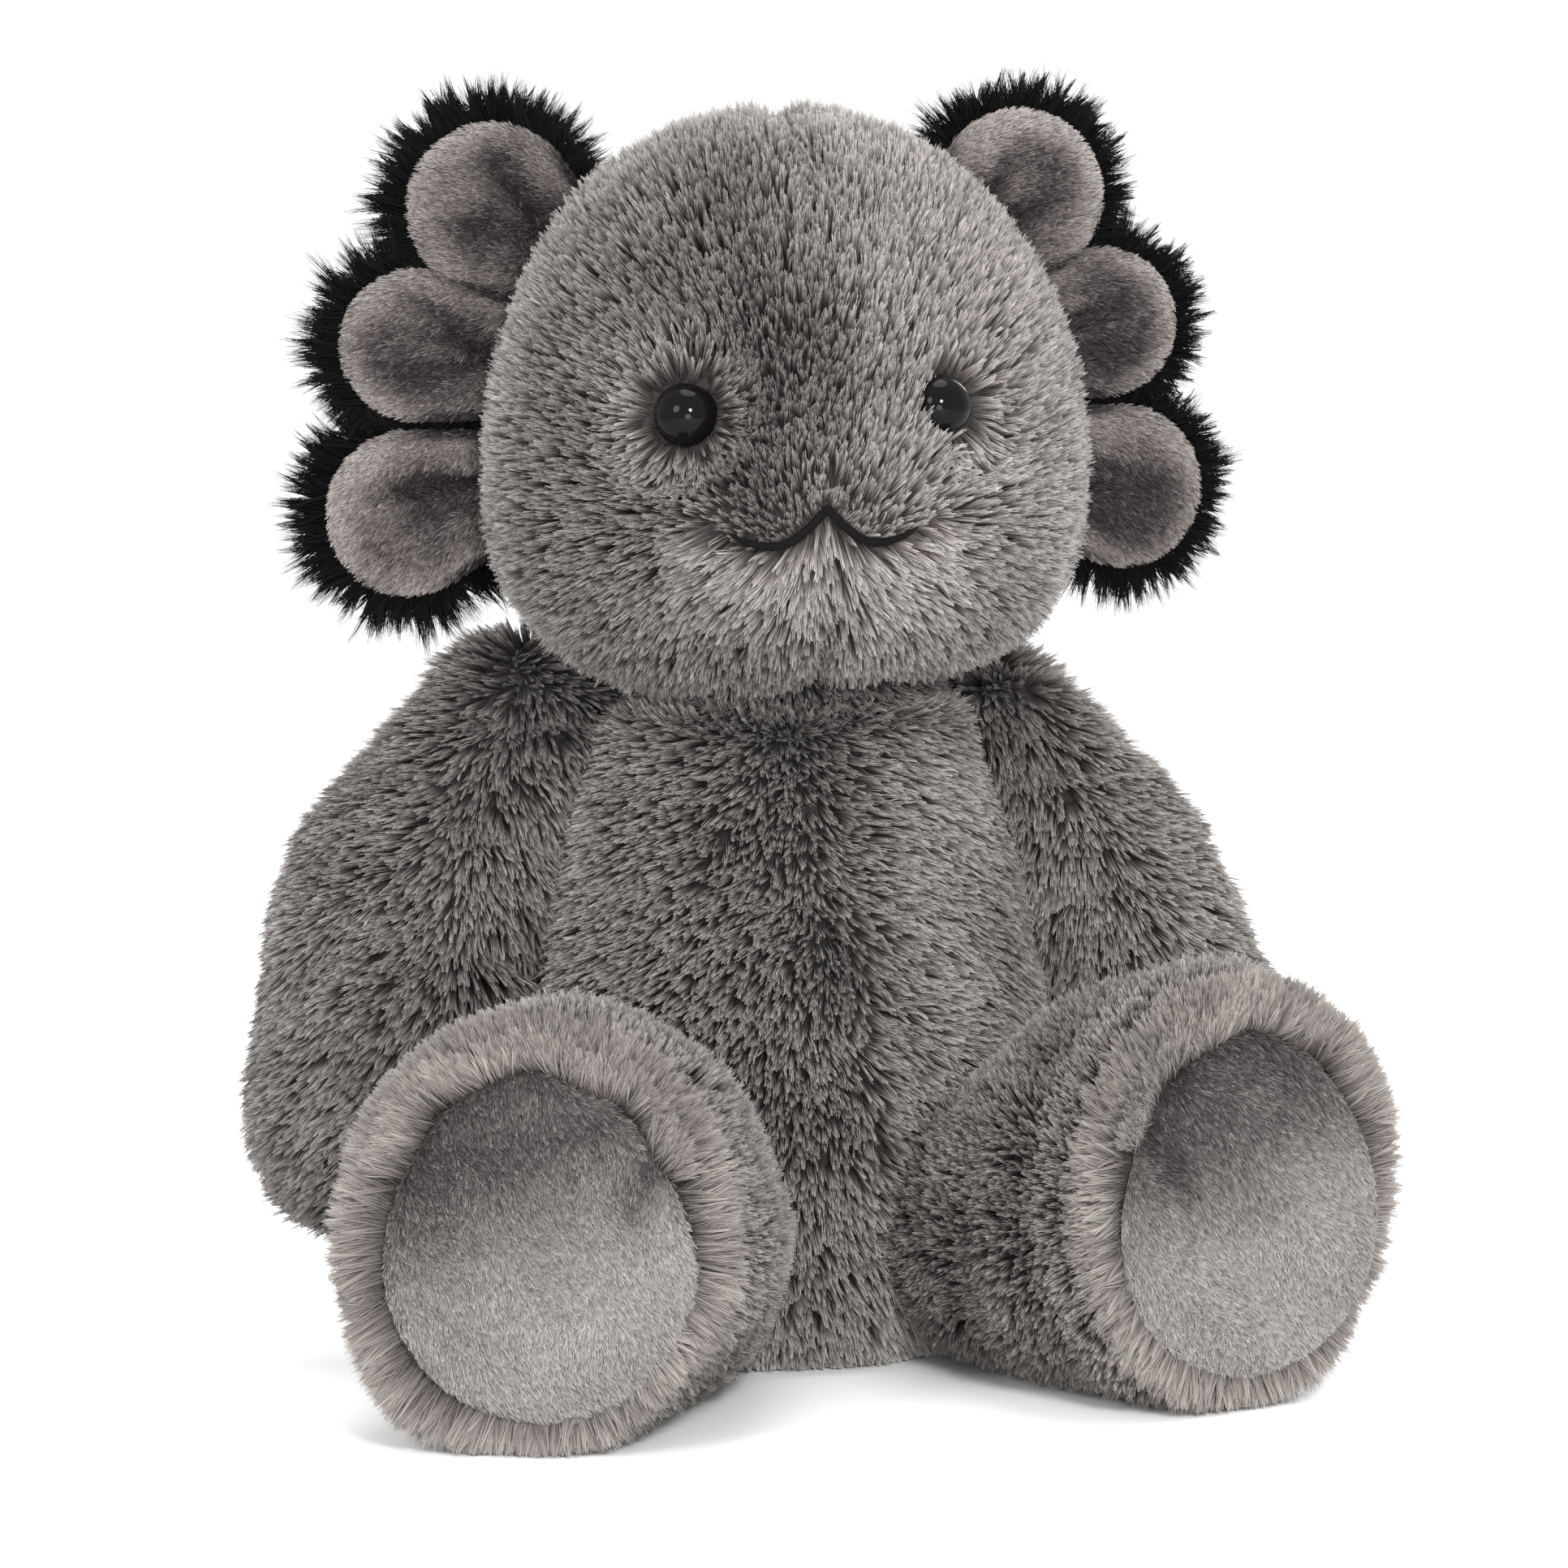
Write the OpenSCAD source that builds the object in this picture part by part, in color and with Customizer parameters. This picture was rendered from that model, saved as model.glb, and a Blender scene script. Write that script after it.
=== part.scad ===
// Seated plush axolotl: a sewn fur body with stuffed limbs, three frilled gills on each side of the
// head, smooth sole pads and a short finned tail. It faces -Y, +X is its own left side, +Z is up, and
// the origin is the centre of the flat face that it sits on. All lengths are in millimetres.

/* [Fabric] */
// Thickness of the fur fabric, its backing and half of its pile
fur_thickness = 5; // [4:0.5:6]
// Thickness of the woven backing alone
backing_thickness = 1; // [0.8:0.1:1.4]
// Gap left between the stuffing and the fabric around it
stuffing_gap = 0.3; // [0.2:0.1:0.5]
// Smallest gap between two pieces that move past each other
moving_gap = 0.5; // [0.4:0.1:1]

/* [Torso] */
// Widest radius of the belly, from side to side
belly_radius = 60; // [58:0.5:61]
// Height of the widest part of the belly
belly_height = 48; // [46:1:50]
// Height of the top of the torso
torso_height = 153; // [151:0.5:153.5]
// Depth of the torso divided by its width
torso_depth = 0.93; // [0.9:0.01:0.96]

/* [Head] */
// Widest radius of the head, from side to side
head_radius = 69.5; // [68:0.5:70]
// Height of the widest part of the cheeks
cheek_height = 206; // [205:0.5:208]
// Distance from the cheeks up to the crown
crown_rise = 84.5; // [82:0.5:86]
// Distance from the cheeks down to the chin
chin_drop = 48; // [47:0.5:49]
// Depth of the head divided by its width
head_depth = 0.9; // [0.88:0.01:0.92]
// Sideways place of the head, which sits a little to the toy's left
head_x = 2; // [0:0.5:3]
// Place of the head along Y, ahead of the torso's middle
head_y = -8; // [-9:0.5:-7]
// Sideways tilt of the head at rest, in degrees
head_tilt = 0; // [-2:0.5:2]
// How far the face looks towards the toy's right, in degrees
face_turn = 2.3; // [0:0.1:3]

/* [Neck] */
// Height of the point that the head nods about
neck_height = 178; // [177:0.5:180]
// Radius of the packed ball inside the head
neck_ball_radius = 22; // [20:0.5:23]
// Radius of the packed column that runs down into the torso
neck_stem_radius = 16; // [14:0.5:17]
// Height of the bottom of that column
neck_stem_bottom = 131; // [128:1:135]

/* [Face] */
// Radius of each safety eye
eye_radius = 7.2; // [6.5:0.1:7.5]
// Sideways place of each eye from the middle of the face
eye_x = 29.5; // [28:0.5:32]
// Height of the eyes
eye_height = 222; // [220:0.5:227]
// Radius of the lock washer behind each eye
washer_radius = 9; // [8:0.5:10]
// Half of the width of the stitched mouth
mouth_half_width = 21.5; // [18:0.5:23]
// Height of the point in the middle of the mouth
mouth_peak_height = 200; // [199:0.5:203]
// Radius of the raised mouth stitching
stitch_radius = 0.9; // [0.7:0.1:1.1]

/* [Gills] */
// Distance of the gills behind the middle of the head
gill_setback = 20; // [18:1:22]
// Thickness of each of the two layers of a gill
gill_layer = 3.2; // [2.8:0.1:3.5]
// Clear distance between a gill's edge and its fold line
gill_root_gap = 2.2; // [2:0.1:2.6]

/* [Arms] */
// Radius of the arm at the shoulder
shoulder_radius = 20; // [19:0.5:21]
// Radius of the arm at the elbow
elbow_radius = 26; // [24:0.5:26]
// Radius of the rounded hand
hand_radius = 26.5; // [24:0.5:27]

/* [Legs] */
// Radius of the leg at the hip
hip_radius = 30; // [28:0.5:30]
// Outer radius of the foot
foot_radius = 46; // [44:0.5:46]
// Thickness of the foot's rounded rim
foot_rim = 14; // [12:0.5:16]
// Distance from the hip to the sole
leg_length = 97; // [94:0.5:98]
// Angle by which each leg points outwards at rest, in degrees
leg_splay = 22; // [20:0.5:24]
// Half of the width of the sole pad
pad_half_width = 34; // [32:0.5:35]
// Half of the height of the sole pad
pad_half_height = 38; // [36:0.5:38.5]

/* [Tail] */
// Length of the tail from its root to its tip
tail_length = 78; // [70:1:84]
// Radius of the tail at its root
tail_root_radius = 24; // [22:0.5:25]

/* [Hidden] */

fur_grey = [0.43, 0.41, 0.41];
pad_grey = [0.60, 0.57, 0.56];
gill_grey = [0.50, 0.46, 0.46];
gill_black = [0.03, 0.03, 0.03];
fibre_white = [0.93, 0.93, 0.91];
thread_black = [0.05, 0.05, 0.05];

// Facets round a turned shape, by how closely it is seen
round_fn = 144;
ball_fn = 64;
disc_fn = 48;
stuffing_fn = 48;
pocket_fn = 40;
shank_fn = 32;
limb_fn = 24;
rim_fn = 36;
rim_section_fn = 16;

// Longer than anything here, for the blocks that cut
far = 400;

// How round the two ends of the torso and of the head are: 1 is an ellipse and less is fuller
torso_top_fullness = 0.8;
torso_bottom_fullness = 0.49;
crown_fullness = 0.9;
chin_fullness = 0.5;
torso_top_reach = 134;
torso_bottom_reach = 60;

// Seam between the belly panels and the back panel, and between the face panels and the head's back
side_seam_y = 8;
head_seam_y = 14;
seam_gap = 0.05;

shoulder = [60, 16, 146];
elbow = [86, 14, 108];
hand = [100, 14, 60];
shoulder_pocket = shoulder_radius + 2;
// The pocket goes on a little way down the arm
pocket_share = 0.3;
upper_arm = shoulder + pocket_share * (elbow - shoulder);
upper_arm_pocket = shoulder_pocket + pocket_share * (elbow_radius - shoulder_radius);

hip = [42, -38, 32];
hip_pocket = hip_radius + 5;
foot_centre_height = foot_radius;
tail_root = [0, 44, 30];
tail_pocket = tail_root_radius + 5;
tail_fin_rise = 4;
tail_tip_drop = 8;
tail_tip_radius = 10;

bag_radius = 20;
bag_half_height = 9;
bag_centre = [0, -3, fur_thickness + stuffing_gap + bag_half_height];

neck = [head_x, head_y, neck_height];
neck_opening = neck_ball_radius + moving_gap;

// Each gill: [centre of its lobe from the neck line and the cheeks, radius, direction in degrees,
// distance from its fold line to the lobe's centre]
gills = [[[63, 67.5], 19, 37, 16],
         [[83, 34.5], 17.5, 11, 19],
         [[86.5, -5], 19, -14, 19]];
// Half length of a gill's straight root edge
gill_chord = 12;

eye_depth = sqrt(1 - pow(eye_x / cheek_width(eye_height), 2)) * cheek_width(eye_height) * head_depth;
eye_yaw = atan2(eye_x, eye_depth / head_depth / head_depth);
eye_pitch = 12;
shank_radius = 2.2;
washer_height = 2;

// The mouth drops from its peak to the bottom of each cup, then rises to its corner
mouth_drop = 8.2;
mouth_corner_rise = 3.2;
mouth_cup_share = 0.55;

// Radius of an egg-shaped outline at a height above its widest part
function egg_radius(radius, reach, fullness, height) =
    radius * pow(sqrt(max(0, 1 - pow(height / reach, 2))), fullness);

// Half outline of an egg shape, from its bottom to its top, to be turned about Z
function egg_outline(radius, waist, up, down, up_fullness, down_fullness, steps) = concat(
    [for (i = [0 : steps - 1]) let (a = 90 * (1 - i / steps))
        [radius * pow(cos(a), down_fullness), waist - down * sin(a)]],
    [for (i = [0 : steps]) let (a = 90 * i / steps)
        [radius * pow(max(0, cos(a)), up_fullness), waist + up * sin(a)]]);

// Half width of the head's surface at a height
function cheek_width(height) = height > cheek_height
    ? egg_radius(head_radius, crown_rise, crown_fullness, height - cheek_height)
    : egg_radius(head_radius, chin_drop, chin_fullness, height - cheek_height);

// Point on the front of the head's surface, lifted off it
function face_point(x, height, lift) = let (w = cheek_width(height))
    [head_x + x, head_y - head_depth * sqrt(w * w - x * x) - lift, height];

module torso_egg(inset, sides = round_fn) {
    scale([1, torso_depth, 1])
        rotate_extrude($fn = sides)
            polygon(egg_outline(belly_radius - inset, belly_height, torso_top_reach - inset,
                                torso_bottom_reach, torso_top_fullness, torso_bottom_fullness, 12));
}

module torso_solid(inset, sides = round_fn) {
    intersection() {
        torso_egg(inset, sides);
        translate([-far / 2, -far / 2, inset])
            cube([far, far, torso_height - 2 * inset]);
    }
}

module head_egg(inset, sides = round_fn) {
    translate([head_x, head_y, 0])
        scale([1, head_depth, 1])
            rotate_extrude($fn = sides)
                polygon(egg_outline(head_radius - inset, cheek_height, crown_rise - inset,
                                    chin_drop - inset, crown_fullness, chin_fullness, 8));
}

// Everything on the head is drawn upright inside this, which can tilt it sideways about the neck
module on_head() {
    translate(neck)
        rotate([0, -head_tilt, 0])
            translate(-neck)
                children();
}

// A shape for the toy's left side, or its mirror image for the right side
module on_side(side) {
    if (side > 0) {
        children();
    } else {
        mirror([1, 0, 0])
            children();
    }
}

// A round hollow, or one with flat facets in the stuffing, where only the limbs see it
module hollow_ball(radius, faceted) {
    if (faceted) {
        hull()
            sphere(radius, $fn = pocket_fn);
    } else {
        sphere(radius, $fn = ball_fn);
    }
}

module limb_pockets(extra, faceted) {
    for (side = [-1, 1]) {
        on_side(side) {
            translate(shoulder)
                hollow_ball(shoulder_pocket + extra, faceted);
            translate(upper_arm)
                hollow_ball(upper_arm_pocket + extra, faceted);
            translate(hip)
                hollow_ball(hip_pocket + extra, faceted);
        }
    }
    translate(tail_root)
        hollow_ball(tail_pocket + extra, faceted);
}

module neck_hole(radius, bottom) {
    translate([neck[0], neck[1], bottom])
        cylinder(r = radius, h = far, $fn = ball_fn);
}

module torso_shell() {
    difference() {
        torso_solid(0);
        torso_solid(fur_thickness);
        limb_pockets(0, false);
        neck_hole(neck_stem_radius + moving_gap, neck_stem_bottom - moving_gap);
    }
}

module belly_panel(side) {
    color(fur_grey)
        intersection() {
            torso_shell();
            translate([side > 0 ? seam_gap : -far - seam_gap, side_seam_y - seam_gap - far,
                       fur_thickness])
                cube(far);
        }
}

module belly_left() {
    belly_panel(1);
}

module belly_right() {
    belly_panel(-1);
}

module back_panel() {
    color(fur_grey)
        intersection() {
            torso_shell();
            translate([-far / 2, side_seam_y + seam_gap, fur_thickness])
                cube(far);
        }
}

module seat_panel() {
    color(fur_grey)
        intersection() {
            torso_shell();
            translate([-far / 2, -far / 2, -1])
                cube([far, far, 1 + fur_thickness - seam_gap]);
        }
}

module torso_stuffing() {
    color(fibre_white)
        difference() {
            hull()
                torso_solid(fur_thickness + stuffing_gap, stuffing_fn);
            limb_pockets(stuffing_gap, true);
            neck_hole(neck_stem_radius + moving_gap, neck_stem_bottom - moving_gap);
            bag_recess();
        }
}

// Rounded edge of the pellet bag's outline, from one angle to 90 degrees
function bag_edge(from, grow) = [for (a = [from : 15 : 90])
    [bag_radius - bag_half_height + (bag_half_height + grow) * cos(a), (bag_half_height + grow) * sin(a)]];

// The bag lies on the seat, so its recess is open at the bottom
module bag_recess() {
    translate(bag_centre)
        rotate_extrude($fn = ball_fn)
            polygon(concat([[0, -far / 10], [bag_radius + stuffing_gap, -far / 10]],
                           bag_edge(0, stuffing_gap),
                           [[0, bag_half_height + stuffing_gap]]));
}

module pellet_bag() {
    color(pad_grey)
        translate(bag_centre)
            rotate_extrude($fn = ball_fn)
                polygon(concat([[0, -bag_half_height]], bag_edge(-90, 0), [[0, bag_half_height]]));
}

module neck_stuffing() {
    color(fibre_white) {
        translate(neck)
            sphere(neck_ball_radius, $fn = ball_fn);
        translate([neck[0], neck[1], neck_stem_bottom])
            cylinder(r = neck_stem_radius, h = neck_height - neck_stem_bottom, $fn = ball_fn);
    }
}

module neck_socket() {
    translate(neck)
        sphere(neck_opening, $fn = ball_fn);
    translate([neck[0], neck[1], neck_height - far])
        cylinder(r = neck_opening + moving_gap, h = far, $fn = ball_fn);
}

// Turns a shape drawn along -Y from its base at the origin to sit square on one eye's place
module at_eye(side, turn = face_turn) {
    turned_face(turn)
        translate([head_x + side * eye_x, head_y - eye_depth, eye_height])
            rotate([0, 0, side * eye_yaw])
                rotate([-eye_pitch, 0, 0])
                    rotate([90, 0, 0])
                        children();
}

// Turns what is on the front of the head about the head's own upright line
module turned_face(turn) {
    translate([head_x, head_y, 0])
        rotate([0, 0, -turn])
            translate([-head_x, -head_y, 0])
                children();
}

module eye_hole(turn) {
    at_eye(1, turn) {
        translate([0, 0, backing_thickness - fur_thickness])
            cylinder(r = eye_radius + 0.2, h = far / 10, $fn = disc_fn);
        translate([0, 0, -far / 20])
            cylinder(r = shank_radius + 0.1, h = far / 10, $fn = shank_fn);
    }
}

module head_shell() {
    difference() {
        head_egg(0);
        head_egg(fur_thickness);
        neck_socket();
    }
}

// The face's left half, or its mirror image in the middle of the head
module face_panel(side) {
    color(fur_grey)
        on_head()
            translate([head_x, 0, 0])
                on_side(side)
                    translate([-head_x, 0, 0])
                        difference() {
                            intersection() {
                                head_shell();
                                translate([head_x + seam_gap, head_y + head_seam_y - seam_gap - far, 0])
                                    cube(far);
                            }
                            eye_hole(side * face_turn);
                        }
}

module face_left() {
    face_panel(1);
}

module face_right() {
    face_panel(-1);
}

module head_back() {
    color(fur_grey)
        on_head()
            intersection() {
                head_shell();
                translate([-far / 2, head_y + head_seam_y + seam_gap, 0])
                    cube(far);
            }
}

module head_stuffing() {
    color(fibre_white)
        on_head()
            difference() {
                hull()
                    head_egg(fur_thickness + stuffing_gap, stuffing_fn);
                neck_socket();
                for (side = [-1, 1])
                    at_eye(side)
                        translate([0, 0, -2 * fur_thickness - washer_height])
                            cylinder(r = washer_radius + stuffing_gap, h = far / 10, $fn = disc_fn);
            }
}

// One line of raised satin stitch: two shallow cups that meet in a point under the nose
function mouth_height(t) = let (u = abs(t))
    mouth_peak_height - mouth_drop * sin(90 * min(1, u / mouth_cup_share))
    + mouth_corner_rise * pow(max(0, (u - mouth_cup_share) / (1 - mouth_cup_share)), 2);

module mouth_stitching() {
    steps = 20;
    sides = 8;
    path = [for (i = [-steps : steps]) let (t = i / steps)
        face_point(t * mouth_half_width, mouth_height(t), stitch_radius * 0.7)];
    last = len(path) - 1;
    rings = [for (i = [0 : last])
        let (a = path[max(0, i - 1)], b = path[min(last, i + 1)],
             along = (b - a) / norm(b - a), out = [0, -1, 0],
             side = cross(along, out) / norm(cross(along, out)), up = cross(side, along))
        for (k = [0 : sides - 1])
            path[i] + stitch_radius * (cos(360 * k / sides) * side + sin(360 * k / sides) * up)];
    faces = concat(
        [[for (k = [0 : sides - 1]) k]],
        [[for (k = [sides - 1 : -1 : 0]) last * sides + k]],
        [for (i = [0 : last - 1], k = [0 : sides - 1]) let (n = (k + 1) % sides)
            [i * sides + n, i * sides + k, (i + 1) * sides + k]],
        [for (i = [0 : last - 1], k = [0 : sides - 1]) let (n = (k + 1) % sides)
            [i * sides + n, (i + 1) * sides + k, (i + 1) * sides + n]]);
    color(thread_black)
        on_head()
            turned_face(face_turn)
                polyhedron(rings, faces);
}

// Glossy dome on a shank, pushed through the backing from outside
module eye(side) {
    dome_base = backing_thickness - fur_thickness + 0.1;
    color(thread_black)
        on_head()
            at_eye(side) {
                translate([0, 0, dome_base])
                    intersection() {
                        translate([0, 0, -1.5])
                            sphere(eye_radius + 0.3, $fn = ball_fn);
                        cylinder(r = eye_radius, h = 2 * eye_radius, $fn = ball_fn);
                    }
                translate([0, 0, -fur_thickness - washer_height - 2])
                    cylinder(r = shank_radius, h = washer_height + fur_thickness, $fn = shank_fn);
            }
}

module eye_left() {
    eye(1);
}

module eye_right() {
    eye(-1);
}

module eye_washer(side) {
    color(fibre_white)
        on_head()
            at_eye(side)
                translate([0, 0, -fur_thickness - washer_height - 1.3])
                    difference() {
                        cylinder(r = washer_radius, h = washer_height, $fn = disc_fn);
                        translate([0, 0, -1])
                            cylinder(r = shank_radius + 0.02, h = washer_height + 2, $fn = shank_fn);
                    }
}

module eye_washer_left() {
    eye_washer(1);
}

module eye_washer_right() {
    eye_washer(-1);
}

// Flat rounded lobe with a straight root edge, drawn along +X from its fold line
module gill_outline(radius, reach) {
    intersection() {
        hull() {
            translate([reach, 0])
                circle(radius, $fn = disc_fn);
            translate([0, -gill_chord])
                square([1, 2 * gill_chord]);
        }
        translate([gill_root_gap, -far / 2])
            square(far);
    }
}

// layer 0 is the smooth front of a gill and layer 1 its shaggy back
module gill(side, index, layer, tone) {
    g = gills[index];
    angle = g[2];
    root = g[0] - g[3] * [cos(angle), sin(angle)];
    color(tone)
        on_head()
            translate([head_x, head_y + gill_setback, cheek_height])
                on_side(side)
                    translate([root[0], 0, root[1]])
                        rotate([0, -angle, 0])
                            rotate([90, 0, 0])
                                translate([0, 0, layer == 0 ? 0 : -gill_layer])
                                    linear_extrude(gill_layer - seam_gap)
                                        gill_outline(g[1], g[3]);
}

module gill_left_upper_front() {
    gill(1, 0, 0, gill_grey);
}

module gill_left_upper_back() {
    gill(1, 0, 1, gill_black);
}

module gill_left_middle_front() {
    gill(1, 1, 0, gill_grey);
}

module gill_left_middle_back() {
    gill(1, 1, 1, gill_black);
}

module gill_left_lower_front() {
    gill(1, 2, 0, gill_grey);
}

module gill_left_lower_back() {
    gill(1, 2, 1, gill_black);
}

module gill_right_upper_front() {
    gill(-1, 0, 0, gill_grey);
}

module gill_right_upper_back() {
    gill(-1, 0, 1, gill_black);
}

module gill_right_middle_front() {
    gill(-1, 1, 0, gill_grey);
}

module gill_right_middle_back() {
    gill(-1, 1, 1, gill_black);
}

module gill_right_lower_front() {
    gill(-1, 2, 0, gill_grey);
}

module gill_right_lower_back() {
    gill(-1, 2, 1, gill_black);
}

module arm_solid(inset) {
    hull() {
        translate(shoulder) sphere(shoulder_radius - inset, $fn = limb_fn);
        translate(elbow) sphere(elbow_radius - inset, $fn = limb_fn);
    }
    hull() {
        translate(elbow) sphere(elbow_radius - inset, $fn = limb_fn);
        translate(hand) sphere(hand_radius - inset, $fn = limb_fn);
    }
}

module arm_skin(side) {
    color(fur_grey)
        on_side(side)
            difference() {
                arm_solid(0);
                arm_solid(fur_thickness);
            }
}

module arm_stuffing(side) {
    color(fibre_white)
        on_side(side)
            arm_solid(fur_thickness + stuffing_gap);
}

module arm_left_skin() {
    arm_skin(1);
}

module arm_left_stuffing() {
    arm_stuffing(1);
}

module arm_right_skin() {
    arm_skin(-1);
}

module arm_right_stuffing() {
    arm_stuffing(-1);
}

// The leg's own frame: -Y runs from the hip to the sole, and Z = 0 is the floor
module along_leg(side) {
    on_side(side)
        translate([hip[0], hip[1], 0])
            rotate([0, 0, leg_splay])
                children();
}

module leg_solid(inset) {
    hull() {
        translate([0, 0, hip[2]])
            sphere(hip_radius - inset, $fn = limb_fn);
        translate([0, inset + foot_rim / 2 - leg_length, foot_centre_height])
            rotate([90, 0, 0])
                rotate_extrude($fn = rim_fn)
                    translate([foot_radius - foot_rim / 2, 0])
                        circle(foot_rim / 2 - (inset > 0 ? inset : 0), $fn = rim_section_fn);
    }
}

module pad_outline(grow) {
    scale([(pad_half_width + grow) / (pad_half_height + grow), 1])
        circle(pad_half_height + grow, $fn = disc_fn);
}

module pad_plug(grow, depth) {
    translate([0, -leg_length, foot_centre_height])
        rotate([90, 0, 0])
            translate([0, 0, -depth])
                linear_extrude(depth + (grow > 0 ? 10 : 0))
                    pad_outline(grow);
}

module leg_skin(side) {
    color(fur_grey)
        along_leg(side)
            difference() {
                leg_solid(0);
                leg_solid(fur_thickness);
                pad_plug(0.1, fur_thickness + 1);
            }
}

module leg_stuffing(side) {
    color(fibre_white)
        along_leg(side)
            leg_solid(fur_thickness + stuffing_gap);
}

module sole_pad(side) {
    color(pad_grey)
        along_leg(side)
            pad_plug(0, fur_thickness);
}

module leg_left_skin() {
    leg_skin(1);
}

module leg_left_stuffing() {
    leg_stuffing(1);
}

module sole_pad_left() {
    sole_pad(1);
}

module leg_right_skin() {
    leg_skin(-1);
}

module leg_right_stuffing() {
    leg_stuffing(-1);
}

module sole_pad_right() {
    sole_pad(-1);
}

// A round root, a tall narrow fin in the middle and a small tip
module tail_solid(inset) {
    hull() {
        translate(tail_root)
            sphere(tail_root_radius - inset, $fn = limb_fn);
        translate(tail_root + [0, tail_length * 0.45, tail_fin_rise])
            scale([0.6, 1, 1])
                sphere(tail_root_radius - inset, $fn = limb_fn);
        translate(tail_root + [0, tail_length - tail_tip_radius, -tail_tip_drop])
            scale([0.7, 1, 1])
                sphere(tail_tip_radius - inset, $fn = limb_fn);
    }
}

module tail_skin() {
    color(fur_grey)
        difference() {
            tail_solid(0);
            tail_solid(fur_thickness);
        }
}

module tail_stuffing() {
    color(fibre_white)
        tail_solid(fur_thickness + stuffing_gap);
}

belly_left();
belly_right();
back_panel();
seat_panel();
torso_stuffing();
pellet_bag();
neck_stuffing();
face_left();
face_right();
head_back();
head_stuffing();
mouth_stitching();
eye_left();
eye_right();
eye_washer_left();
eye_washer_right();
gill_left_upper_front();
gill_left_upper_back();
gill_left_middle_front();
gill_left_middle_back();
gill_left_lower_front();
gill_left_lower_back();
gill_right_upper_front();
gill_right_upper_back();
gill_right_middle_front();
gill_right_middle_back();
gill_right_lower_front();
gill_right_lower_back();
arm_left_skin();
arm_left_stuffing();
arm_right_skin();
arm_right_stuffing();
leg_left_skin();
leg_left_stuffing();
sole_pad_left();
leg_right_skin();
leg_right_stuffing();
sole_pad_right();
tail_skin();
tail_stuffing();
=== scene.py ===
import math

import bpy
import numpy as np
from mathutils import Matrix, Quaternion, Vector


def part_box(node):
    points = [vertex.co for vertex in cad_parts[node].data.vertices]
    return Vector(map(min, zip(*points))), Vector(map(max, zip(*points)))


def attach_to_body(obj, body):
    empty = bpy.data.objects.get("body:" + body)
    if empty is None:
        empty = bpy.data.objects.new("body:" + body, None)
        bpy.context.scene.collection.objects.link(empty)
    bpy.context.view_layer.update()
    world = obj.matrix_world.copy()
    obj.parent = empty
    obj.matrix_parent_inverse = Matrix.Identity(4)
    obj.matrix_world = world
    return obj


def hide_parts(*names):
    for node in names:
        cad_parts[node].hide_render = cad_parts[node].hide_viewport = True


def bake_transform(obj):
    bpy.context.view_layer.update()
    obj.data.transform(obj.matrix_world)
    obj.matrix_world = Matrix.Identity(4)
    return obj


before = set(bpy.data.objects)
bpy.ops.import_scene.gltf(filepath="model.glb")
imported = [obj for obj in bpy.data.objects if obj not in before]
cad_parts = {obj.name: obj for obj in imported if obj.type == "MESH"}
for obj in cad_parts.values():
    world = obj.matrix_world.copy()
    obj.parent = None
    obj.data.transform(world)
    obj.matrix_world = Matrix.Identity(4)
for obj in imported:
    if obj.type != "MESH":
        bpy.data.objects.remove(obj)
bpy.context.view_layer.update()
rng = np.random.default_rng(11)
MM = 0.001


# ---------------------------------------------------------------- vectors
def unit(v):
    return v / np.maximum(np.linalg.norm(v, axis=-1, keepdims=True), 1e-9)


def along(v, n):
    """The part of v that lies in the surface with normals n, as unit vectors."""
    return unit(v - (v * n).sum(-1, keepdims=True) * n)


def smooth(a, b, x):
    t = np.clip((x - a) / (b - a), 0, 1)
    return t * t * (3 - 2 * t)


def bump(x, width):
    return np.exp(-((x / width) ** 2))


def waves(p, scale, seed):
    """Soft lumps: a few sine waves in random directions, from -1 to 1."""
    r = np.random.default_rng(seed)
    total = np.zeros(len(p))
    for _ in range(6):
        d = unit(r.normal(size=3)) * r.uniform(0.6, 1.5) * 2 * math.pi / scale
        total += np.sin(p @ d + r.uniform(0, 6.28))
    return total / 3.5


def drift(p, scale, seed):
    """A slow wander in three directions, for the way hair lies."""
    return np.stack([waves(p, scale, seed + k) for k in range(3)], 1)


# ---------------------------------------------------------------- materials
def material(name, roughness, sheen=0.0, tint=(1, 1, 1, 1), specular=0.3):
    m = bpy.data.materials.new(name)
    m.use_nodes = True
    n = m.node_tree.nodes
    s = n["Principled BSDF"]
    s.inputs["Roughness"].default_value = roughness
    s.inputs["Specular IOR Level"].default_value = specular
    s.inputs["Sheen Weight"].default_value = sheen
    s.inputs["Sheen Roughness"].default_value = 0.45
    s.inputs["Sheen Tint"].default_value = tint
    return m, n, m.node_tree.links, s


def ramp(nodes, stops):
    r = nodes.new("ShaderNodeValToRGB")
    e = r.color_ramp.elements
    while len(e) < len(stops):
        e.new(0.5)
    for i, (at, colour) in enumerate(stops):
        e[i].position = at
        e[i].color = (*colour, 1)
    return r


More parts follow.
